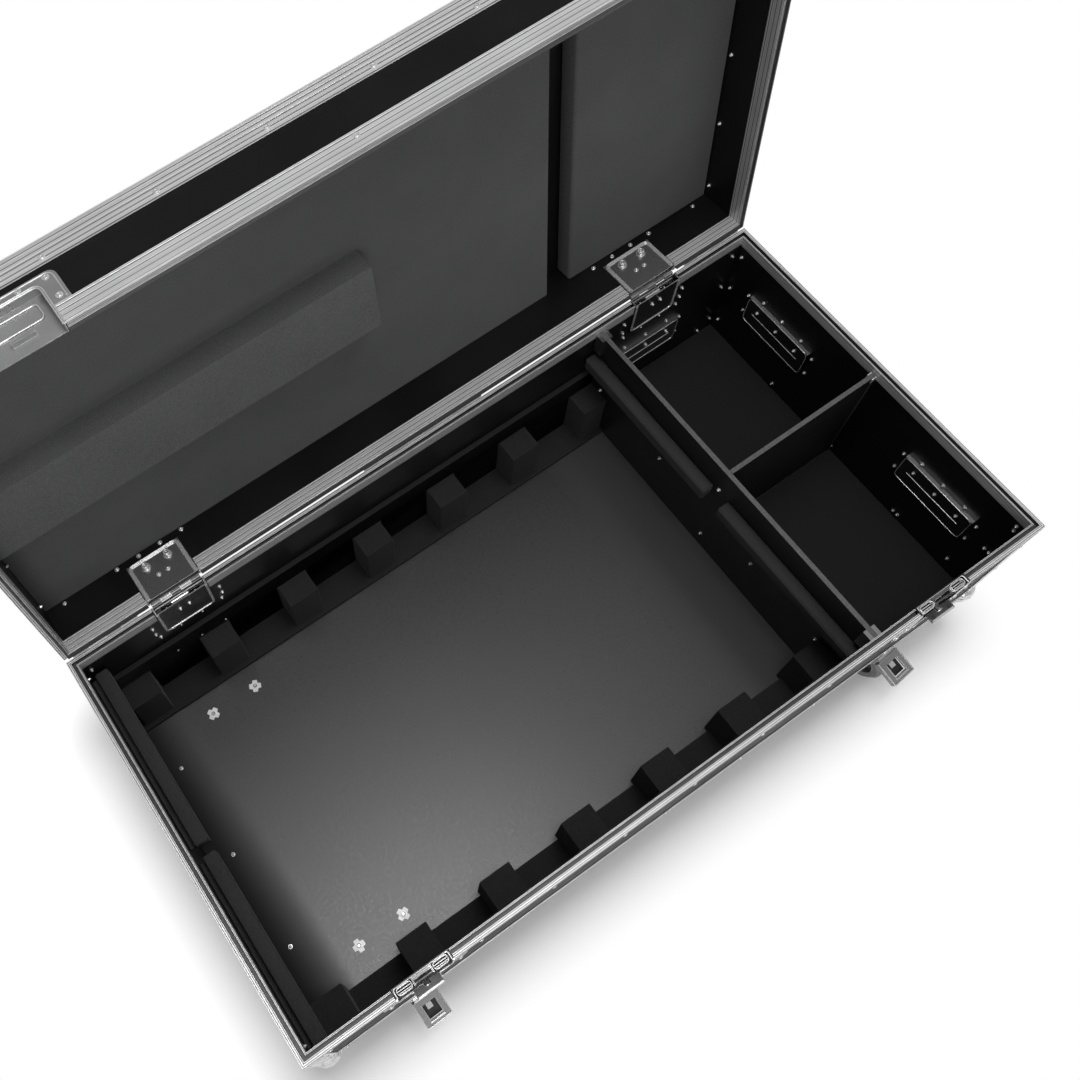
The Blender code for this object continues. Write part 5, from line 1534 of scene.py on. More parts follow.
@dataclass
class RimPressings(Assembly):
    """Latch, hinge and keeper dishes with their beads, rivets, studs and inner works.

    Attributes:
        half: Half width of a dish's tray.
        depth: Depth of a tray.
        base_height: Height of a tray in the base.
        lid_height: Height of a tray in the lid.
        bead: Radius of a rolled bead.
        corner: Corner radius of a tray.
        proud: How far a bead's middle stands before its face.
        back_gap: How far short of a tray's depth the inner works of a latch end.
        stud_x: Studs of a hinge, from its middle.
        dome_x: Domes of a hinge, from its middle.
        hinge_lid_row: Tails of a hinge on the lid, from its middle.
        hinge_base_row: Tails of a hinge on the base, from its middle and down from the closing plane.
        keeper_row: Rivets of a keeper, from its middle and up from the closing plane.
        latch_row: Rivets of a latch, from its middle and down from the closing plane.
    """

    half: float = 0.0405
    depth: float = 0.0135
    base_height: float = 0.0765
    lid_height: float = 0.0612
    bead: float = 0.0011
    corner: float = 0.009
    proud: float = 0.0001
    back_gap: float = 0.0011
    stud_x: float = 0.0175
    dome_x: float = 0.0175 * 0.43
    hinge_lid_row: tuple[float, ...] = (-0.053, -0.0175, 0.0175, 0.053)
    hinge_base_row: tuple[Spot, ...] = (
        (-0.056, 0.041), (0.056, 0.041), (-0.052, 0.084), (-0.018, 0.084),
        (0.018, 0.084), (0.052, 0.084), (-0.056, 0.066), (0.056, 0.066))
    keeper_row: tuple[Spot, ...] = ((0.052, 0.066), (0.0535, 0.036), (0.020, 0.068))
    latch_row: tuple[Spot, ...] = ((0.0535, 0.041), (0.0535, 0.082), (0.020, 0.084))

    def add_trays(self, beads: PathSet, wall: Wall, distance: float, x: float, mouth: float,
                  insets: Sequence[float]) -> None:
        """Adds beads round a tray, open at the closing plane.

        Args:
            beads: Paths that they are added to.
            wall: The wall that the tray is in.
            distance: Their distance from the case's middle.
            x: Middle of the tray.
            mouth: Where they start, up from the closing plane or down where negative.
            insets: How far in from the tray's edge each lies.
        """
        way, height = (1, self.lid_height) if mouth > 0 else (-1, self.base_height)
        start = CASE.rim + mouth
        for inset in insets:
            half, end = self.half - inset, CASE.rim + way * height - way * inset
            outline = [(x - half, start), (x - half, end), (x + half, end), (x + half, start)]
            beads.add_on_wall(wall, distance, rounded(outline, self.corner - inset, False), False)

    def make_leaves(self) -> None:
        """Leaf of each hinge in the base, with dark boxes that paint the shade in its two slots, its pins and
        its knuckle.
        """
        leaves, slots, knuckles = bmesh.new(), bmesh.new(), bmesh.new()
        rim, face = CASE.rim, CASE.half_depth - 0.0012
        leaf_half, leaf_thickness, leaf_top, leaf_bottom = 0.0404, 0.0009, rim - 0.0062, rim - 0.0430
        slot_x, slot_half, slot_depth = 0.0235, 0.0082, 0.0024
        slot_top, slot_bottom = rim - 0.0125, rim - 0.0270
        pin_level, pin_depth, pin_radii = rim - 0.0195, 0.0036, (0.0014, 0.0020)
        knuckle_half, knuckle_depth, knuckle_radius = 0.0135, 0.0005, 0.0052
        lip_half, lip_depth, lip_level, lip_radius = 0.038, 0.0004, rim - 0.0100, 0.0011
        for side in SIDES:
            centre = side * CASE.dish_x
            add_box(leaves, (centre - leaf_half, face, leaf_bottom),
                    (centre + leaf_half, face + leaf_thickness, leaf_top))
            add_bar(knuckles, (centre, face - knuckle_depth, pin_level), knuckle_half, knuckle_radius)
            for x in (centre - slot_x, centre + slot_x):
                add_box(slots, (x - slot_half, face - slot_depth, slot_bottom),
                        (x + slot_half, face, slot_top))
                add_rod(knuckles, (x, face - pin_depth, pin_level), (x, face, pin_level), *pin_radii)
            add_bar(leaves, (centre, face - lip_depth, lip_level), lip_half, lip_radius)
        self.solid("hinge_leaves", leaves, self.paint.zinc)
        # Painted shade: dark boxes stand in the slots.
        new_piece("hinge_leaf_slot_shade", mesh_from(slots), "base", self.paint.hollow)
        self.solid("hinge_leaf_pins", knuckles, self.paint.rivet)

    def make_hinges(self) -> None:
        """Beads, tails and studs of the two hinges."""
        lid_tails, studs, domes = PointSet(Space.LID), PointSet(Space.LID), PointSet(Space.LID)
        base_tails, lid_beads, base_beads = PointSet(Space.BASE), PathSet(Space.LID), PathSet(Space.BASE)
        floor = CASE.half_depth - self.depth - self.proud
        tail_lift, stud_lift, dome_lift, knuckle_drop = 0.071, 0.047, 0.027, 0.024
        for side in SIDES:
            x = side * CASE.dish_x
            for away in self.hinge_lid_row:
                BACK.tail(lid_tails, x + away, CASE.rim + tail_lift)
            for way in SIDES:
                BACK.tail(studs, x + way * self.stud_x, CASE.rim + stud_lift, floor)
                BACK.tail(domes, x + way * self.dome_x, CASE.rim + dome_lift, floor)
                BACK.tail(base_tails, x + way * self.dome_x, CASE.rim - knuckle_drop, floor)
            for away, drop in self.hinge_base_row:
                BACK.tail(base_tails, x + away, CASE.rim - drop)
            self.add_trays(lid_beads, BACK, floor, x, mouth=0.001, insets=(0.0, 0.0018, 0.0038))
            self.add_trays(base_beads, BACK, floor, x, mouth=-0.002, insets=(0.0, 0.0018))
        self.repeat("hinge_lid_tails", TAILS, lid_tails, Radius=0.0024)
        self.repeat("hinge_lid_domes", TAILS, domes, Radius=0.0026, Height=0.0030)
        self.repeat("hinge_lid_studs", STUDS, studs, Radius=0.0052, Height=0.0085)
        self.repeat("hinge_lid_beads", RIBS, lid_beads, Radius=0.0013)
        self.repeat("hinge_base_tails", TAILS, base_tails)
        self.repeat("hinge_base_beads", RIBS, base_beads, Radius=self.bead)

    def make_keepers(self) -> None:
        """Beads and rivets of the keepers on the lid's front."""
        heads, beads = PointSet(Space.LID), PathSet(Space.LID)
        flange_half, flange_low, flange_high = 0.060, CASE.rim + 0.0315, CASE.rim + 0.0715
        swage_half, swage_low, swage_high = 0.030, CASE.rim + 0.030, CASE.rim + 0.052
        tray_face, swage_face = CASE.half_depth + 0.0002, CASE.half_depth - self.depth + 0.0022
        for side in SIDES:
            x = side * CASE.dish_x
            for way in SIDES:
                for away, lift in self.keeper_row:
                    FRONT.head(heads, x + way * away, CASE.rim + lift)
            self.add_trays(beads, FRONT, tray_face, x, mouth=0.001, insets=(-0.0022, 0.0))
            left, right = x - flange_half, x + flange_half
            corners = [(left, flange_low), (left, flange_high), (right, flange_high), (right, flange_low)]
            flange = rounded(corners, self.corner, False)
            beads.add_on_wall(FRONT, CASE.half_depth + self.proud, flange, False)
            swage = box_outline((x - swage_half, swage_low), (x + swage_half, swage_high), radius=0.006)
            beads.add_on_wall(FRONT, swage_face, swage)
        self.repeat("keeper_rivets", RIVETS, heads)
        self.repeat("keeper_beads", RIBS, beads, Radius=self.bead)

    def add_pocket(self, x: float, way: int, rungs: PathSet, wells: Work, cases: Work) -> None:
        """Adds the ribs, the dark box that paints the shade at the floor, and the side of the lock case of
        one pocket of a latch.

        Args:
            x: Middle of the latch.
            way: Side of the latch that the pocket is on.
            rungs: Paths of the ribs.
            wells: Dark boxes that paint the shade at the pockets' floors.
            cases: Boxes of the lock cases.
        """
        rim, face = CASE.rim, -CASE.half_depth
        back = face + self.depth - self.back_gap
        near, far = x + way * 0.0165, x + way * 0.0375
        mouth, end, corner = face + 0.0016, back - 0.0018, 0.0045
        pocket = [(near, mouth), (near, end), (far, end), (far, mouth)]
        for ring_drop in (0.0030, 0.0070):
            rungs.add_flat(rim - ring_drop, rounded(pocket, corner))
        rung_start, rung_pitch, rung_drop = face + 0.0040, 0.0030, 0.0085
        for step in range(3):
            y = rung_start + step * rung_pitch
            rungs.add_flat(rim - rung_drop, [(near, y), (far, y)], False)
        left, right = sorted((x + way * 0.0152, x + way * 0.0398))
        well_front, well_back, well_low, well_high = face + 0.0008, back - 0.0004, rim - 0.0150, rim - 0.0130
        add_box(wells, (left, well_front, well_low), (right, well_back, well_high))
        side, half = x + way * 0.0138, 0.0009
        case_front, case_back, case_low, case_high = face + 0.0014, back - 0.0006, rim - 0.030, rim - 0.0050
        add_box(cases, (side - half, case_front, case_low), (side + half, case_back, case_high))

    def make_latches(self) -> None:
        """Beads, pockets with their painted shade, and lock cases of the two latches."""
        heads, beads, rungs = PointSet(Space.BASE), PathSet(Space.BASE), PathSet(Space.BASE)
        wells, cases = bmesh.new(), bmesh.new()
        front = 0.001 - CASE.half_depth
        back = self.depth - CASE.half_depth - self.back_gap
        mouth_drop, spindle_depth, spindle_drop = 0.0012, 0.0036, 0.0100
        for side in SIDES:
            x = side * CASE.dish_x
            left, right = x - self.half, x + self.half
            mouth = rounded([(left, front), (left, back), (right, back), (right, front)], radius=0.004,
                            closed=False)
            beads.add_flat(CASE.rim - mouth_drop, mouth, False)
            for way in SIDES:
                self.add_pocket(x, way, rungs, wells, cases)
                for away, drop in self.latch_row:
                    FRONT.head(heads, x + way * away, CASE.rim - drop)
            spindle = (x, spindle_depth - CASE.half_depth, CASE.rim - spindle_drop)
            add_bar(cases, spindle, half=0.0128, radius=0.0014)
            self.add_trays(beads, FRONT, CASE.half_depth + self.proud, x, mouth=-0.001, insets=(-0.0018,))
        self.repeat("latch_rivets", RIVETS, heads)
        self.repeat("latch_beads", RIBS, beads, Radius=self.bead)
        # Painted shade: dark boxes fill the floors of the latch pockets.
        new_piece("latch_well_shade", mesh_from(wells), "base", self.paint.hollow)
        self.repeat("latch_rungs", RIBS, rungs)
        self.solid("latch_lock_cases", cases, self.paint.dull_zinc)

    def make_wings(self) -> None:
        """Spindle sleeve of each latch wing, and a dark rod that paints the shade in each finger hole."""
        level, hole_half = CASE.rim - 0.038, 0.00165
        reaches = (0.0047, 0.0062, 0.0118, 0.0078)
        cap_back, cap_front, barrel, hole = [-CASE.half_depth - reach for reach in reaches]
        for side, name in NAMED_SIDES:
            x = side * CASE.dish_x
            trim, holes = bmesh.new(), bmesh.new()
            add_rod(trim, (x, cap_back, level), (x, cap_front, level), radius=0.0043, end_radius=0.0036)
            add_bar(trim, (x, barrel, level), half=0.0185, radius=0.0021)
            for away in (-0.0135, 0.0135):
                low, high = (x + away, hole, level - hole_half), (x + away, hole, level + hole_half)
                add_rod(holes, low, high, radius=0.0030)
            # Painted shade: a dark rod stands in each finger hole.
            self.solid(f"latch_wing_hole_shade_{name}", holes, self.paint.plastic, f"latch_wing_{name}")
            self.solid(f"latch_wing_trim_{name}", trim, self.paint.rivet, f"latch_wing_{name}")

    def build(self) -> None:
        """Dresses the pressings and adds their detail."""
        # Latch dishes and the hinges' trays in the base get painted shade on their inner metal.
        finishes = {"hinge_base": self.paint.dish_zinc_painted_shade, "latch_dish": self.paint.latch_zinc_painted_shade,
                    "hinge_lid": self.paint.plate_zinc_lid, "keeper": self.paint.zinc_lid,
                    "latch_wing": self.paint.dark_zinc, "latch_hook": self.paint.dull_zinc}
        for node, finish in finishes.items():
            dress([f"{node}_left", f"{node}_right"], finish)
        self.make_leaves()
        self.make_hinges()
        self.make_keepers()
        self.make_latches()
        self.make_wings()


@dataclass
class LampNest(Assembly):
    """Foam that holds the lamps: toothed cradles, rest pads and the lid's foam.

    Attributes:
        tooth_start: Where the first tooth of the front cradle starts.
        tooth_pitch: Spacing of its teeth.
        tooth_width: Width of a tooth.
        tooth_count: Teeth in the cradle.
        tooth_top: Height of the teeth.
        tooth_reach: How far the teeth pass the ledge.
        tooth_lift: Gap between the teeth and the floor board.
        wall_strip: Thickness of the strip along the wall.
        ledge_top: Height of the ledge.
        cradle_round: Edge round of the cradles.
        pad_round: Edge round of the rest pads.
        lid_round: Edge round of the lid foam.
    """

    tooth_start: float = -0.566
    tooth_pitch: float = 0.139
    tooth_width: float = 0.050
    tooth_count: int = 7
    tooth_top: float = 0.115
    tooth_reach: float = 0.008
    tooth_lift: float = 0.0003
    wall_strip: float = 0.0085
    ledge_top: float = 0.019
    cradle_round: float = 0.0016
    pad_round: float = 0.0042
    lid_round: float = 0.0018

    def foam(self, node: str, mesh: Mesh, material: Material, width: float, body: str = "base") -> None:
        """Adds cut foam with rounded edges in place of a plain foam node."""
        cut = bevelled(mesh, width, segments=3, angle=25.0)
        piece = new_piece(f"{node}_cut", cut, body, material)
        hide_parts(node)

    def front_cradle(self) -> Mesh:
        """Front cradle: its teeth reach a little past the low ledge."""
        low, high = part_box("cradle_front")
        work = bmesh.new()
        add_box(work, low, (high.x, low.y + self.wall_strip, high.z))
        add_box(work, low, (high.x, high.y - self.tooth_reach, self.ledge_top))
        for step in range(self.tooth_count):
            start = self.tooth_start + step * self.tooth_pitch
            add_box(work, (start, low.y, CASE.wall + self.tooth_lift),
                    (start + self.tooth_width, high.y, self.tooth_top))
        return mesh_from(work)

    def build(self) -> None:
        """Replaces every foam node."""
        self.foam("cradle_front", self.front_cradle(), self.paint.cradle_foam, self.cradle_round)
        self.foam("cradle_back", cad_copy("cradle_back"), self.paint.cradle_foam, self.cradle_round)
        for node in ("pad_left_front", "pad_right_front", "pad_left_back", "pad_right_back"):
            self.foam(node, cad_copy(node), self.paint.pad_foam, self.pad_round)
        for node in ("lid_foam_left", "lid_foam_right"):
            self.foam(node, cad_copy(node), self.paint.lid_foam, self.lid_round, "lid")


@dataclass
class InnerFittings(Assembly):
    """Divider, partition, bay mats and the castor bolts' nuts in the floor.

    Attributes:
        divider_rivets: Rivets on the divider's lamp side, along it and down from the closing plane.
        end_rivets: The same on the right end wall.
        mat_thickness: Thickness of a bay mat.
        mat_gap: Gap between a mat and the walls.
        nut_reach: From a nut's middle to its outermost corner.
        nut_corners: Angle and reach of the corners in one quarter of a nut's plate.
        nut_thickness: Thickness of the plate.
        nut_places: Where the nuts are.
    """

    divider_rivets: tuple[Spot, ...] = ((0.255, 0.138), (0.111, 0.140), (-0.004, 0.215), (-0.096, 0.145),
                                        (-0.234, 0.150), (0.001, 0.053))
    end_rivets: tuple[Spot, ...] = ((-0.277, 0.033), (-0.270, 0.134), (-0.245, 0.233), (-0.148, 0.251))
    mat_thickness: float = 0.0022
    mat_gap: float = 0.001
    nut_reach: float = 0.0098
    nut_corners: tuple[Spot, ...] = ((-0.36, 1.0), (0.36, 1.0), (math.pi / 4, 0.62))
    nut_thickness: float = 0.0012
    nut_places: tuple[Spot, ...] = ((-0.394, -0.2015), (-0.4706, -0.2015), (-0.394, 0.2015),
                                    (-0.4706, 0.2015))

    def add_nut(self, work: Work, x: float, y: float, turn: float) -> None:
        """Adds a four-pronged nut: a notched plate and the barrel's lip."""
        place = Matrix.Translation((x, y, CASE.wall)) @ Matrix.Rotation(turn, 4, "Z")
        outline = []
        for quarter in range(4):
            for angle, reach in self.nut_corners:
                way = quarter * math.pi / 2 + angle
                outline.append((math.cos(way) * reach * self.nut_reach,
                                math.sin(way) * reach * self.nut_reach, 0.0))
        plate = work.faces.new([work.verts.new(place @ Vector(corner)) for corner in outline])
        raised = bmesh.ops.extrude_face_region(work, geom=[plate])
        corners = [item for item in raised["geom"] if isinstance(item, bmesh.types.BMVert)]
        bmesh.ops.translate(work, verts=corners, vec=(0, 0, self.nut_thickness))
        lip_start, lip_end = place @ Vector((0, 0, 0.001)), place @ Vector((0, 0, 0.0026))
        add_rod(work, lip_start, lip_end, radius=0.0046, end_radius=0.0042, sides=20)

    def make_nuts(self) -> None:
        """The nuts that show in the lamp compartment, with dark rods that paint the shade in each bore, and
        the ends of the bolts.
        """
        nuts, bores, ends = bmesh.new(), bmesh.new(), bmesh.new()
        foot, bore_top, bolt_top = CASE.wall + 0.002, CASE.wall + 0.00275, CASE.wall + 0.0031
        for step, (x, y) in enumerate(self.nut_places):
            self.add_nut(nuts, x, y, turn=0.5 + step * 1.1)
            add_rod(bores, (x, y, foot), (x, y, bore_top), radius=0.0031, end_radius=0.0030, sides=16)
            add_rod(ends, (x, y, foot), (x, y, bolt_top), radius=0.0022, end_radius=0.0020, sides=16)
        self.solid("floor_nuts", nuts, self.paint.nut_zinc)
        # Painted shade: a dark rod stands in each nut's bore.
        self.solid("floor_nut_bore_shade", bores, self.paint.plastic)
        self.solid("floor_nut_bolt_ends", ends, self.paint.rivet)

    def make_mats(self) -> None:
        """Dark mats on the floors of the accessory bays."""
        low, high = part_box("cross_partition")
        right, top = CASE.inner_length - self.mat_gap, CASE.wall + self.mat_thickness
        for name, start, end in (("front", -CASE.inner_depth, low.y), ("back", high.y, CASE.inner_depth)):
            work = bmesh.new()
            add_box(work, (low.x, start + self.mat_gap, CASE.wall), (right, end - self.mat_gap, top))
            mesh = bevelled(mesh_from(work), width=0.0008, segments=2)
            new_piece(f"bay_mat_{name}", mesh, "base", self.paint.bay_mat)

    def make_rivets(self) -> None:
        """Rivets of the divider's channels and brackets and of the right end wall."""
        tails = PointSet(Space.BASE)
        rows = (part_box("divider")[0].x, self.divider_rivets), (CASE.inner_length, self.end_rivets)
        for face, row in rows:
            for y, drop in row:
                tails.add((face, y, CASE.rim - drop), (-1, 0, 0))
        self.repeat("bay_rivets", TAILS, tails)

    def make_cheeks(self, name: str, material: Material, gap: Spot, reach: Spot, levels: Spot) -> None:
        """Adds a pair of strips beside the partition where it meets the end wall.

        Args:
            name: The pair's name.
            material: Its finish.
            gap: From the partition's faces to the strips' inner and outer faces.
            reach: From the end wall to the strips' ends.
            levels: Heights of their undersides and tops.
        """
        low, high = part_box("cross_partition")
        work = bmesh.new()
        for start, end in ((low.y - gap[1], low.y - gap[0]), (high.y + gap[0], high.y + gap[1])):
            add_box(work, (high.x - reach[0], start, levels[0]), (high.x - reach[1], end, levels[1]))
        mesh = bevelled(mesh_from(work), width=0.0003, segments=2)
        new_piece(name, mesh, "base", material)

    def build(self) -> None:
        """Dresses the boards and adds the clips, rivets, nuts and mats."""
        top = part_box("cross_partition")[1].z
        self.make_cheeks("partition_clip", self.paint.rivet, gap=(0.0004, 0.0021), reach=(0.0085, 0.0),
                         levels=(top - 0.011, top - 0.0005))
        self.make_cheeks("partition_channel", self.paint.rubber, gap=(0.0003, 0.0016),
                         reach=(0.006, 0.0002), levels=(CASE.wall + 0.004, top - 0.012))
        self.make_rivets()
        dress(["divider"], self.paint.divider)
        dress(["cross_partition"], self.paint.partition)
        self.make_nuts()
        self.make_mats()


@dataclass
class Handles(Assembly):
    """Sprung handles in their dishes.

    Attributes:
        rivet_u: Rivets along the long sides of a dish's flange.
        rivet_v: Their distance from the dish's middle.
        end_u: Rivets at the ends of the flange.
        end_v: Their height from the middle.
        tray_half: Half sizes of a dish's tray.
        tray_depth: Depth of a tray.
        tray_corner: Corner radius of a tray.
        swage_short: How much shorter than the tray the swage line is, at each end.
        swage_drop: From the dish's middle down to the swage line.
        bail_lift: From the dish's middle up to the bail's rivets.
        bar: Diameter of a grip's sleeve.
        arm_reach: Half length of the bare metal at each end of a grip.
    """

    rivet_u: tuple[float, ...] = (-0.042, 0.0, 0.042)
    rivet_v: float = 0.038
    end_u: float = 0.0715
    end_v: float = 0.022
    tray_half: Spot = (0.0643, 0.0298)
    tray_depth: float = 0.017
    tray_corner: float = 0.009
    swage_short: float = 0.014
    swage_drop: float = 0.002
    bail_lift: float = 0.0125
    bar: float = 0.0135
    arm_reach: float = 0.0165

    def flange_places(self) -> list[Spot]:
        """Places of the rivets round one flange."""
        places = [(u, v) for u in self.rivet_u for v in (-self.rivet_v, self.rivet_v)]
        return places + [(u, v) for u in (-self.end_u, self.end_u) for v in (-self.end_v, self.end_v)]

    def trim_dish(self, wall: Wall, along: float, level: float, heads: PointSet, tails: PointSet,
                  beads: PathSet) -> None:
        """Adds the rolled edge, the swage line, the bail's rivets and the flange's rivets of a dish.

        Args:
            wall: The wall that the dish is in.
            along: Place of the dish along the wall.
            level: Height of the dish.
            heads: Points of the rivet heads.
            tails: Points of the rivet tails.
            beads: Paths of the beads.
        """
        u, v = self.tray_half
        face = wall.outer - self.tray_depth - 0.0001
        edge = box_outline((along - u, level - v), (along + u, level + v), self.tray_corner)
        line = level - self.swage_drop
        start, end = along - u + self.swage_short, along + u - self.swage_short
        beads.add_on_wall(wall, face, edge)
        beads.add_on_wall(wall, face, [(start, line), (end, line)], False)
        for away in self.rivet_u:
            wall.tail(tails, along + away, level + self.bail_lift, face)
        for away, lift in self.flange_places():
            wall.head(heads, along + away, level + lift)
            wall.tail(tails, along + away, level + lift)

    def grip_finish(self, node: str) -> Material:
        """Rubber sleeve on plated arms for one grip."""
        low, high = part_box(node)
        centre, size = (low + high) / 2, high - low
        long_axis = 0 if size.x > size.y else 1
        reach = Vector((1.0, 1.0, 1.0))
        reach[long_axis] = self.arm_reach
        arms = []
        for side in SIDES:
            end = centre.copy()
            end[long_axis] += side * (size[long_axis] / 2)
            arms.append((tuple(end), tuple(reach)))
        arms.append(((centre.x, centre.y, high.z), (1.0, 1.0, size.z - self.bar)))
        return GrainFinish(f"sleeve_{node}", BLACK_RUBBER, grain=600.0, depth=0.0002, metal=arms).material

    def build(self) -> None:
        """Dresses dishes and grips, and adds their beads, rivets and tails."""
        heads, tails, beads = PointSet(Space.BASE), PointSet(Space.BASE), PathSet(Space.BASE)
        for x_side, x_name in NAMED_SIDES:
            for y_side, y_name in ((-1, "front"), (1, "back")):
                # The handle dishes get painted shade on their inner metal.
                dress([f"handle_dish_{x_name}_{y_name}"], self.paint.dish_zinc_painted_shade)
                self.trim_dish(Wall(True, x_side), y_side * CASE.handle_y, CASE.handle_z, heads, tails, beads)
            self.trim_dish(BACK, x_side * CASE.dish_x, CASE.back_handle_z, heads, tails, beads)
        self.repeat("handle_beads", RIBS, beads, Radius=0.0007)
        self.repeat("handle_rivet_heads", RIVETS, heads, Radius=0.0038, Height=0.0018)
        self.repeat("handle_rivet_tails", TAILS, tails)
        for node in frame["nodes"]:
            if node.startswith("handle_grip"):
                dress([node], self.grip_finish(node))


@dataclass
class Castors(Assembly):
    """Castor wheels, forks and pedals.

    Attributes:
        x: Middle of a castor's plate along the length, either side.
        y: Its middle along the depth.
        bolt_half: Half spacing of the plate's bolts.
        bolt_level: Height of their heads.
        wheel_half: Half width of a wheel's hub face.
        tread_from: Radius where a wheel's tread starts.
        ring_radii: Radii of the rings on a wheel's side.
        axle_reach: From a wheel's middle to its axle nuts.
        pedal_turns: How far the two front castors are turned, in degrees.
        pedal_place: Pivot of a pedal from its plate's middle.
        pedal_slope: Slope of a pedal in degrees.
        pedal_top: Height of a pedal's rolled edges over its pivot.
        pedal_bars: Place, half length and radius of the bars across a pedal.
        pedal_edges: Side, start, end and radius of the bars along it.
    """

    x: float = 0.4323
    y: float = 0.2315
    bolt_half: Spot = (0.03825, 0.03)
    bolt_level: float = -0.0045
    wheel_half: float = 0.0163
    tread_from: float = 0.0365
    ring_radii: Spot = (0.026, 0.042)
    axle_reach: float = 0.0242
    pedal_turns: Spot = (1.0, 5.5)
    pedal_place: Point = (0.0, -0.064, -0.026)
    pedal_slope: float = 18.0
    pedal_top: float = 0.0027
    pedal_bars: tuple[Point, ...] = ((-0.0500, 0.0205, 0.0013), (-0.0445, 0.0125, 0.0019))
    pedal_edges: tuple[tuple[float, ...], ...] = ((0.0203, -0.0100, -0.0500, 0.0010),
                                                  (0.0116, -0.0190, -0.0425, 0.0008))

    def trim_pedal(self, name: str, side: int, turn: float) -> None:
        """Adds the rolled edges and the cross bars of a pedal, and a dark plate under its window that paints
        the shade seen through it.

        Args:
            name: Name of the castor.
            side: Side of the case that it is on.
            turn: How far the castor is turned, in degrees.
        """
        turned = Matrix.Rotation(math.radians(turn), 4, "Z")
        plate = Matrix.Translation((side * self.x, -self.y, 0.0)) @ turned
        slope = Matrix.Rotation(math.radians(self.pedal_slope), 4, "X")
        place = plate @ Matrix.Translation(self.pedal_place) @ slope
        bright, dark = bmesh.new(), bmesh.new()
        (edge_y, *edge), (bar_y, *bar) = self.pedal_bars
        add_bar(bright, (0.0, edge_y, self.pedal_top), *edge, sides=12)
        add_bar(bright, (0.0, -0.0045, 0.0), half=0.0165, radius=0.0046, sides=20)
        add_bar(bright, (0.0, bar_y, self.pedal_top), *bar, sides=12)
        for way in SIDES:
            for x, start, end, radius in self.pedal_edges:
                add_rod(bright, (way * x, start, self.pedal_top), (way * x, end, self.pedal_top), radius,
                        sides=12)
        tongue = (-0.0055, -0.0290, -0.0030), (0.0035, -0.0205, -0.0008)
        window_shade_plate = (-0.0108, -0.0418, -0.0062), (0.0108, -0.0192, -0.0035)
        add_box(bright, *tongue)
        add_box(dark, *window_shade_plate)
        # Painted shade: the piece labelled tread is the dark plate seen through the window.
        pieces = (bright, "trim", self.paint.rivet), (dark, "tread", self.paint.plastic)
        for work, label, material in pieces:
            bmesh.ops.transform(work, matrix=place, verts=work.verts)
            self.solid(f"brake_pedal_{label}_{name}", work, material, f"brake_pedal_{name}")

    def dress_wheel(self, name: str) -> None:
        """Dresses one castor, and adds its axle nuts and the rings on its wheel."""
        rings, nuts = PathSet(Space.BASE), PointSet(Space.BASE)
        dress([f"castor_fork_{name}"], self.paint.zinc)
        low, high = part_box(f"castor_wheel_{name}")
        centre = (low + high) / 2
        wheel = WheelFinish(f"wheel_{name}", centre, self.tread_from).material
        dress([f"castor_wheel_{name}"], wheel)
        turns = [step * math.pi / 16 for step in range(32)]
        for way in SIDES:
            face = centre.x + way * self.wheel_half
            for radius in self.ring_radii:
                rings.add([(face, centre.y + radius * math.cos(turn), centre.z + radius * math.sin(turn))
                           for turn in turns], True)
            nuts.add((centre.x + way * self.axle_reach, centre.y, centre.z), (way, 0, 0))
        self.repeat(f"castor_axle_nuts_{name}", BOLTS, nuts, body=f"castor_wheel_{name}",
                    Radius=0.0062, Height=0.004)
        self.repeat(f"castor_wheel_rings_{name}", RIBS, rings, wheel, f"castor_wheel_{name}", "tyre",
                    Radius=0.0007)

    def build(self) -> None:
        """Dresses each castor and adds the pedals' trim and the plate bolts."""
        for name in ("front_left", "front_right", "back_left", "back_right"):
            self.dress_wheel(name)
        dress(["brake_pedal_front_left", "brake_pedal_front_right"], self.paint.zinc)
        for (side, name), turn in zip(NAMED_SIDES, self.pedal_turns):
            self.trim_pedal(f"front_{name}", side, turn)
        bolts = PointSet(Space.BASE)
        half_x, half_y = self.bolt_half
        for x in (-self.x, self.x):
            for y in (-self.y, self.y):
                for dx in (-half_x, half_x):
                    for dy in (-half_y, half_y):
                        bolts.add((x + dx, y + dy, self.bolt_level), (0, 0, -1))
        self.repeat("castor_bolts", BOLTS, bolts)


# Studio and camera

@dataclass(frozen=True)
class Lamp:
    """One soft lamp.

    Attributes:
        name: The lamp's name.
        place: Where it stands.
        target: What it looks at.
        size: Side of its square.
        power: Its power in watts.
        lights: Whether it lights dull surfaces.
        mirrors: Whether it shows in shiny surfaces.
    """

    name: str
    place: Point
    target: Point
    size: float
    power: float
    lights: bool = True
    mirrors: bool = True

    def build(self) -> None:
        """Adds the lamp."""
        data = bpy.data.lights.new(self.name, "AREA")
        data.size = self.size
        data.energy = self.power
        lamp = placed(self.name, data)
        lamp.visible_diffuse = self.lights
        lamp.visible_glossy = self.mirrors
        way = Vector(self.target) - Vector(self.place)
        lamp.matrix_world = Matrix.Translation(self.place) @ way.to_track_quat("-Z", "Y").to_matrix().to_4x4()


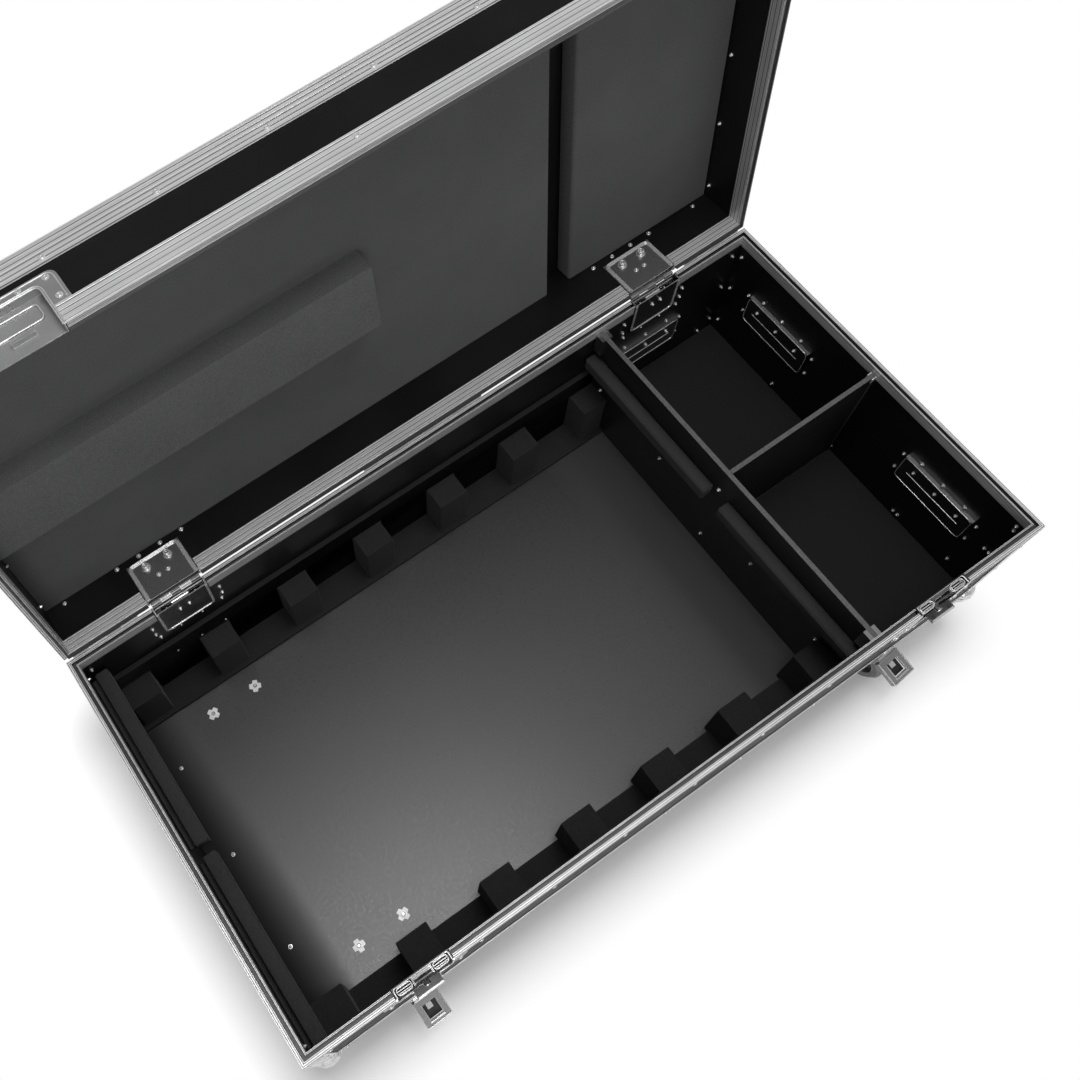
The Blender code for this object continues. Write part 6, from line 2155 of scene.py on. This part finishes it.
@dataclass
class Studio:
    """Pale floor, soft lamps and even world light.

    Attributes:
        reach: Half of the floor's side.
        sky_level: Strength of the world overhead.
        side_level: Strength of the world at the horizon.
        sky_band: Steepness of the way up at which the world starts and ends to get brighter.
        floor_level: Grey level of the floor.
        floor_patch: Share of that level in its slow darker patches.
        glow: Share of the floor that shows white by itself, near the case and far from it.
        fade: Distances from the case between which that share grows.
        lamps: The lamps.
    """

    reach: float = 9.0
    sky_level: float = 0.42
    side_level: float = 0.08
    sky_band: Spot = (0.25, 0.70)
    floor_level: float = 0.90
    floor_patch: float = 0.99
    glow: Spot = (0.0, 1.0)
    fade: Spot = (0.010, 0.100)
    lamps: tuple[Lamp, ...] = (
        Lamp("overhead_softbox", (0.45, 0.25, 3.4), (0.0, 0.0, 0.1), 1.3, 80.0, mirrors=False),
        Lamp("sheen_softbox", (-0.3, -0.3, 3.3), (-0.3, -0.2, 0.1), 1.15, 23.0, lights=False),
        Lamp("front_softbox", (-1.2, -3.4, 1.9), (-0.1, 0.1, 0.3), 1.8, 46.0),
        Lamp("right_strip", (3.2, -0.6, 1.8), (0.1, 0.0, 0.2), 1.2, 7.0))

    def floor_finish(self) -> Material:
        """Pale matt floor that shows white to the camera away from the case."""
        finish = Finish("studio_floor")
        graph = finish.graph
        pale = Coat(grey(self.floor_level), roughness=0.9)
        patches = graph.noise(finish.vector, scale=0.6)
        level = graph.blend(patches, pale.scaled(), pale.scaled(self.floor_patch))
        finish.set(level, pale.roughness)
        light = graph.out("ShaderNodeEmission", {"Color": WHITE, "Strength": 1.0})
        camera_rays = graph.node("ShaderNodeLightPath").outputs["Is Camera Ray"]
        case_half = (CASE.half_length, CASE.half_depth, self.reach)
        outside = graph.vector("SUBTRACT", graph.vector("ABSOLUTE", finish.vector), case_half)
        away = graph.measure("LENGTH", graph.vector("MAXIMUM", outside))
        share = graph.times(camera_rays, graph.spread(away, *self.fade, *self.glow))
        mixed = graph.out("ShaderNodeMixShader", {0: share, 1: finish.shader.outputs[0], 2: light})
        out = next(node for node in graph.tree.nodes if node.type == "OUTPUT_MATERIAL")
        graph.put(out.inputs["Surface"], mixed)
        return finish.material

    def make_floor(self) -> None:
        """Pale floor under the wheels."""
        wheels = ("front_left", "front_right", "back_left")
        ground = min(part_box(f"castor_wheel_{name}")[0].z for name in wheels)
        corners = [(-self.reach, -self.reach, ground), (self.reach, -self.reach, ground),
                   (self.reach, self.reach, ground), (-self.reach, self.reach, ground)]
        mesh = bpy.data.meshes.new("studio_floor")
        mesh.from_pydata(corners, [], [(0, 1, 2, 3)])
        mesh.materials.append(self.floor_finish())
        placed("studio_floor", mesh)

    def make_world(self) -> None:
        """Even light from all round, white to the camera."""
        world = bpy.data.worlds.new("studio_world")
        world.use_nodes = True
        graph = Graph(world.node_tree)
        camera_rays = graph.node("ShaderNodeLightPath").outputs["Is Camera Ray"]
        way = graph.axes(graph.node("ShaderNodeTexCoord").outputs["Generated"])[2]
        soft = graph.spread(way, *self.sky_band, self.side_level, self.sky_level)
        back = world.node_tree.nodes["Background"]
        graph.put(back.inputs["Color"], WHITE)
        graph.put(back.inputs["Strength"], graph.between(camera_rays, soft, 1.0))
        bpy.context.scene.world = world

    def build(self) -> None:
        """Builds floor, world and lamps."""
        self.make_floor()
        self.make_world()
        for lamp in self.lamps:
            lamp.build()
        bpy.context.scene.view_settings.view_transform = "Standard"


@dataclass
class ShotCamera:
    """The camera of the photograph, which looks down over the front left corner.

    Attributes:
        lens: Focal length in millimetres.
        sensor: Width of the sensor in millimetres.
        shift: Shift of the frame, which the photograph's crop needs.
        place: Where the camera stands.
        right: The camera's own right in the room.
        up: The camera's own up in the room.
        far: How far it sees.
    """

    lens: float = 42.48
    sensor: float = 36.0
    shift: Spot = (0.1999, -0.0844)
    place: Point = (-0.44602, -0.36419, 1.9518)
    right: Point = (0.832268, -0.548257, -0.082122)
    up: Point = (0.527852, 0.73844, 0.419617)
    far: float = 60.0

    def build(self) -> None:
        """Adds the camera and makes it the scene's own."""
        data = bpy.data.cameras.new("shot_camera")
        data.lens = self.lens
        data.sensor_width = self.sensor
        data.shift_x, data.shift_y = self.shift
        data.clip_end = self.far
        camera = placed("shot_camera", data)
        right, up = Vector(self.right), Vector(self.up)
        turn = Matrix((right, up, right.cross(up))).transposed()
        camera.matrix_world = Matrix.Translation(self.place) @ turn.to_4x4()
        bpy.context.scene.camera = camera


def main() -> None:
    """Builds every sub-assembly, the studio and the camera."""
    logging.basicConfig(level=logging.INFO, format="%(name)s: %(message)s")
    ShotCamera().build()
    paint = Palette()
    for part in (BaseShell(paint), LidShell(paint), RimPressings(paint), LampNest(paint),
                 InnerFittings(paint), Handles(paint), Castors(paint)):
        part.build()
        LOG.info("%s done", type(part).__name__)
    Studio().build()


if __name__ == "__main__":
    main()
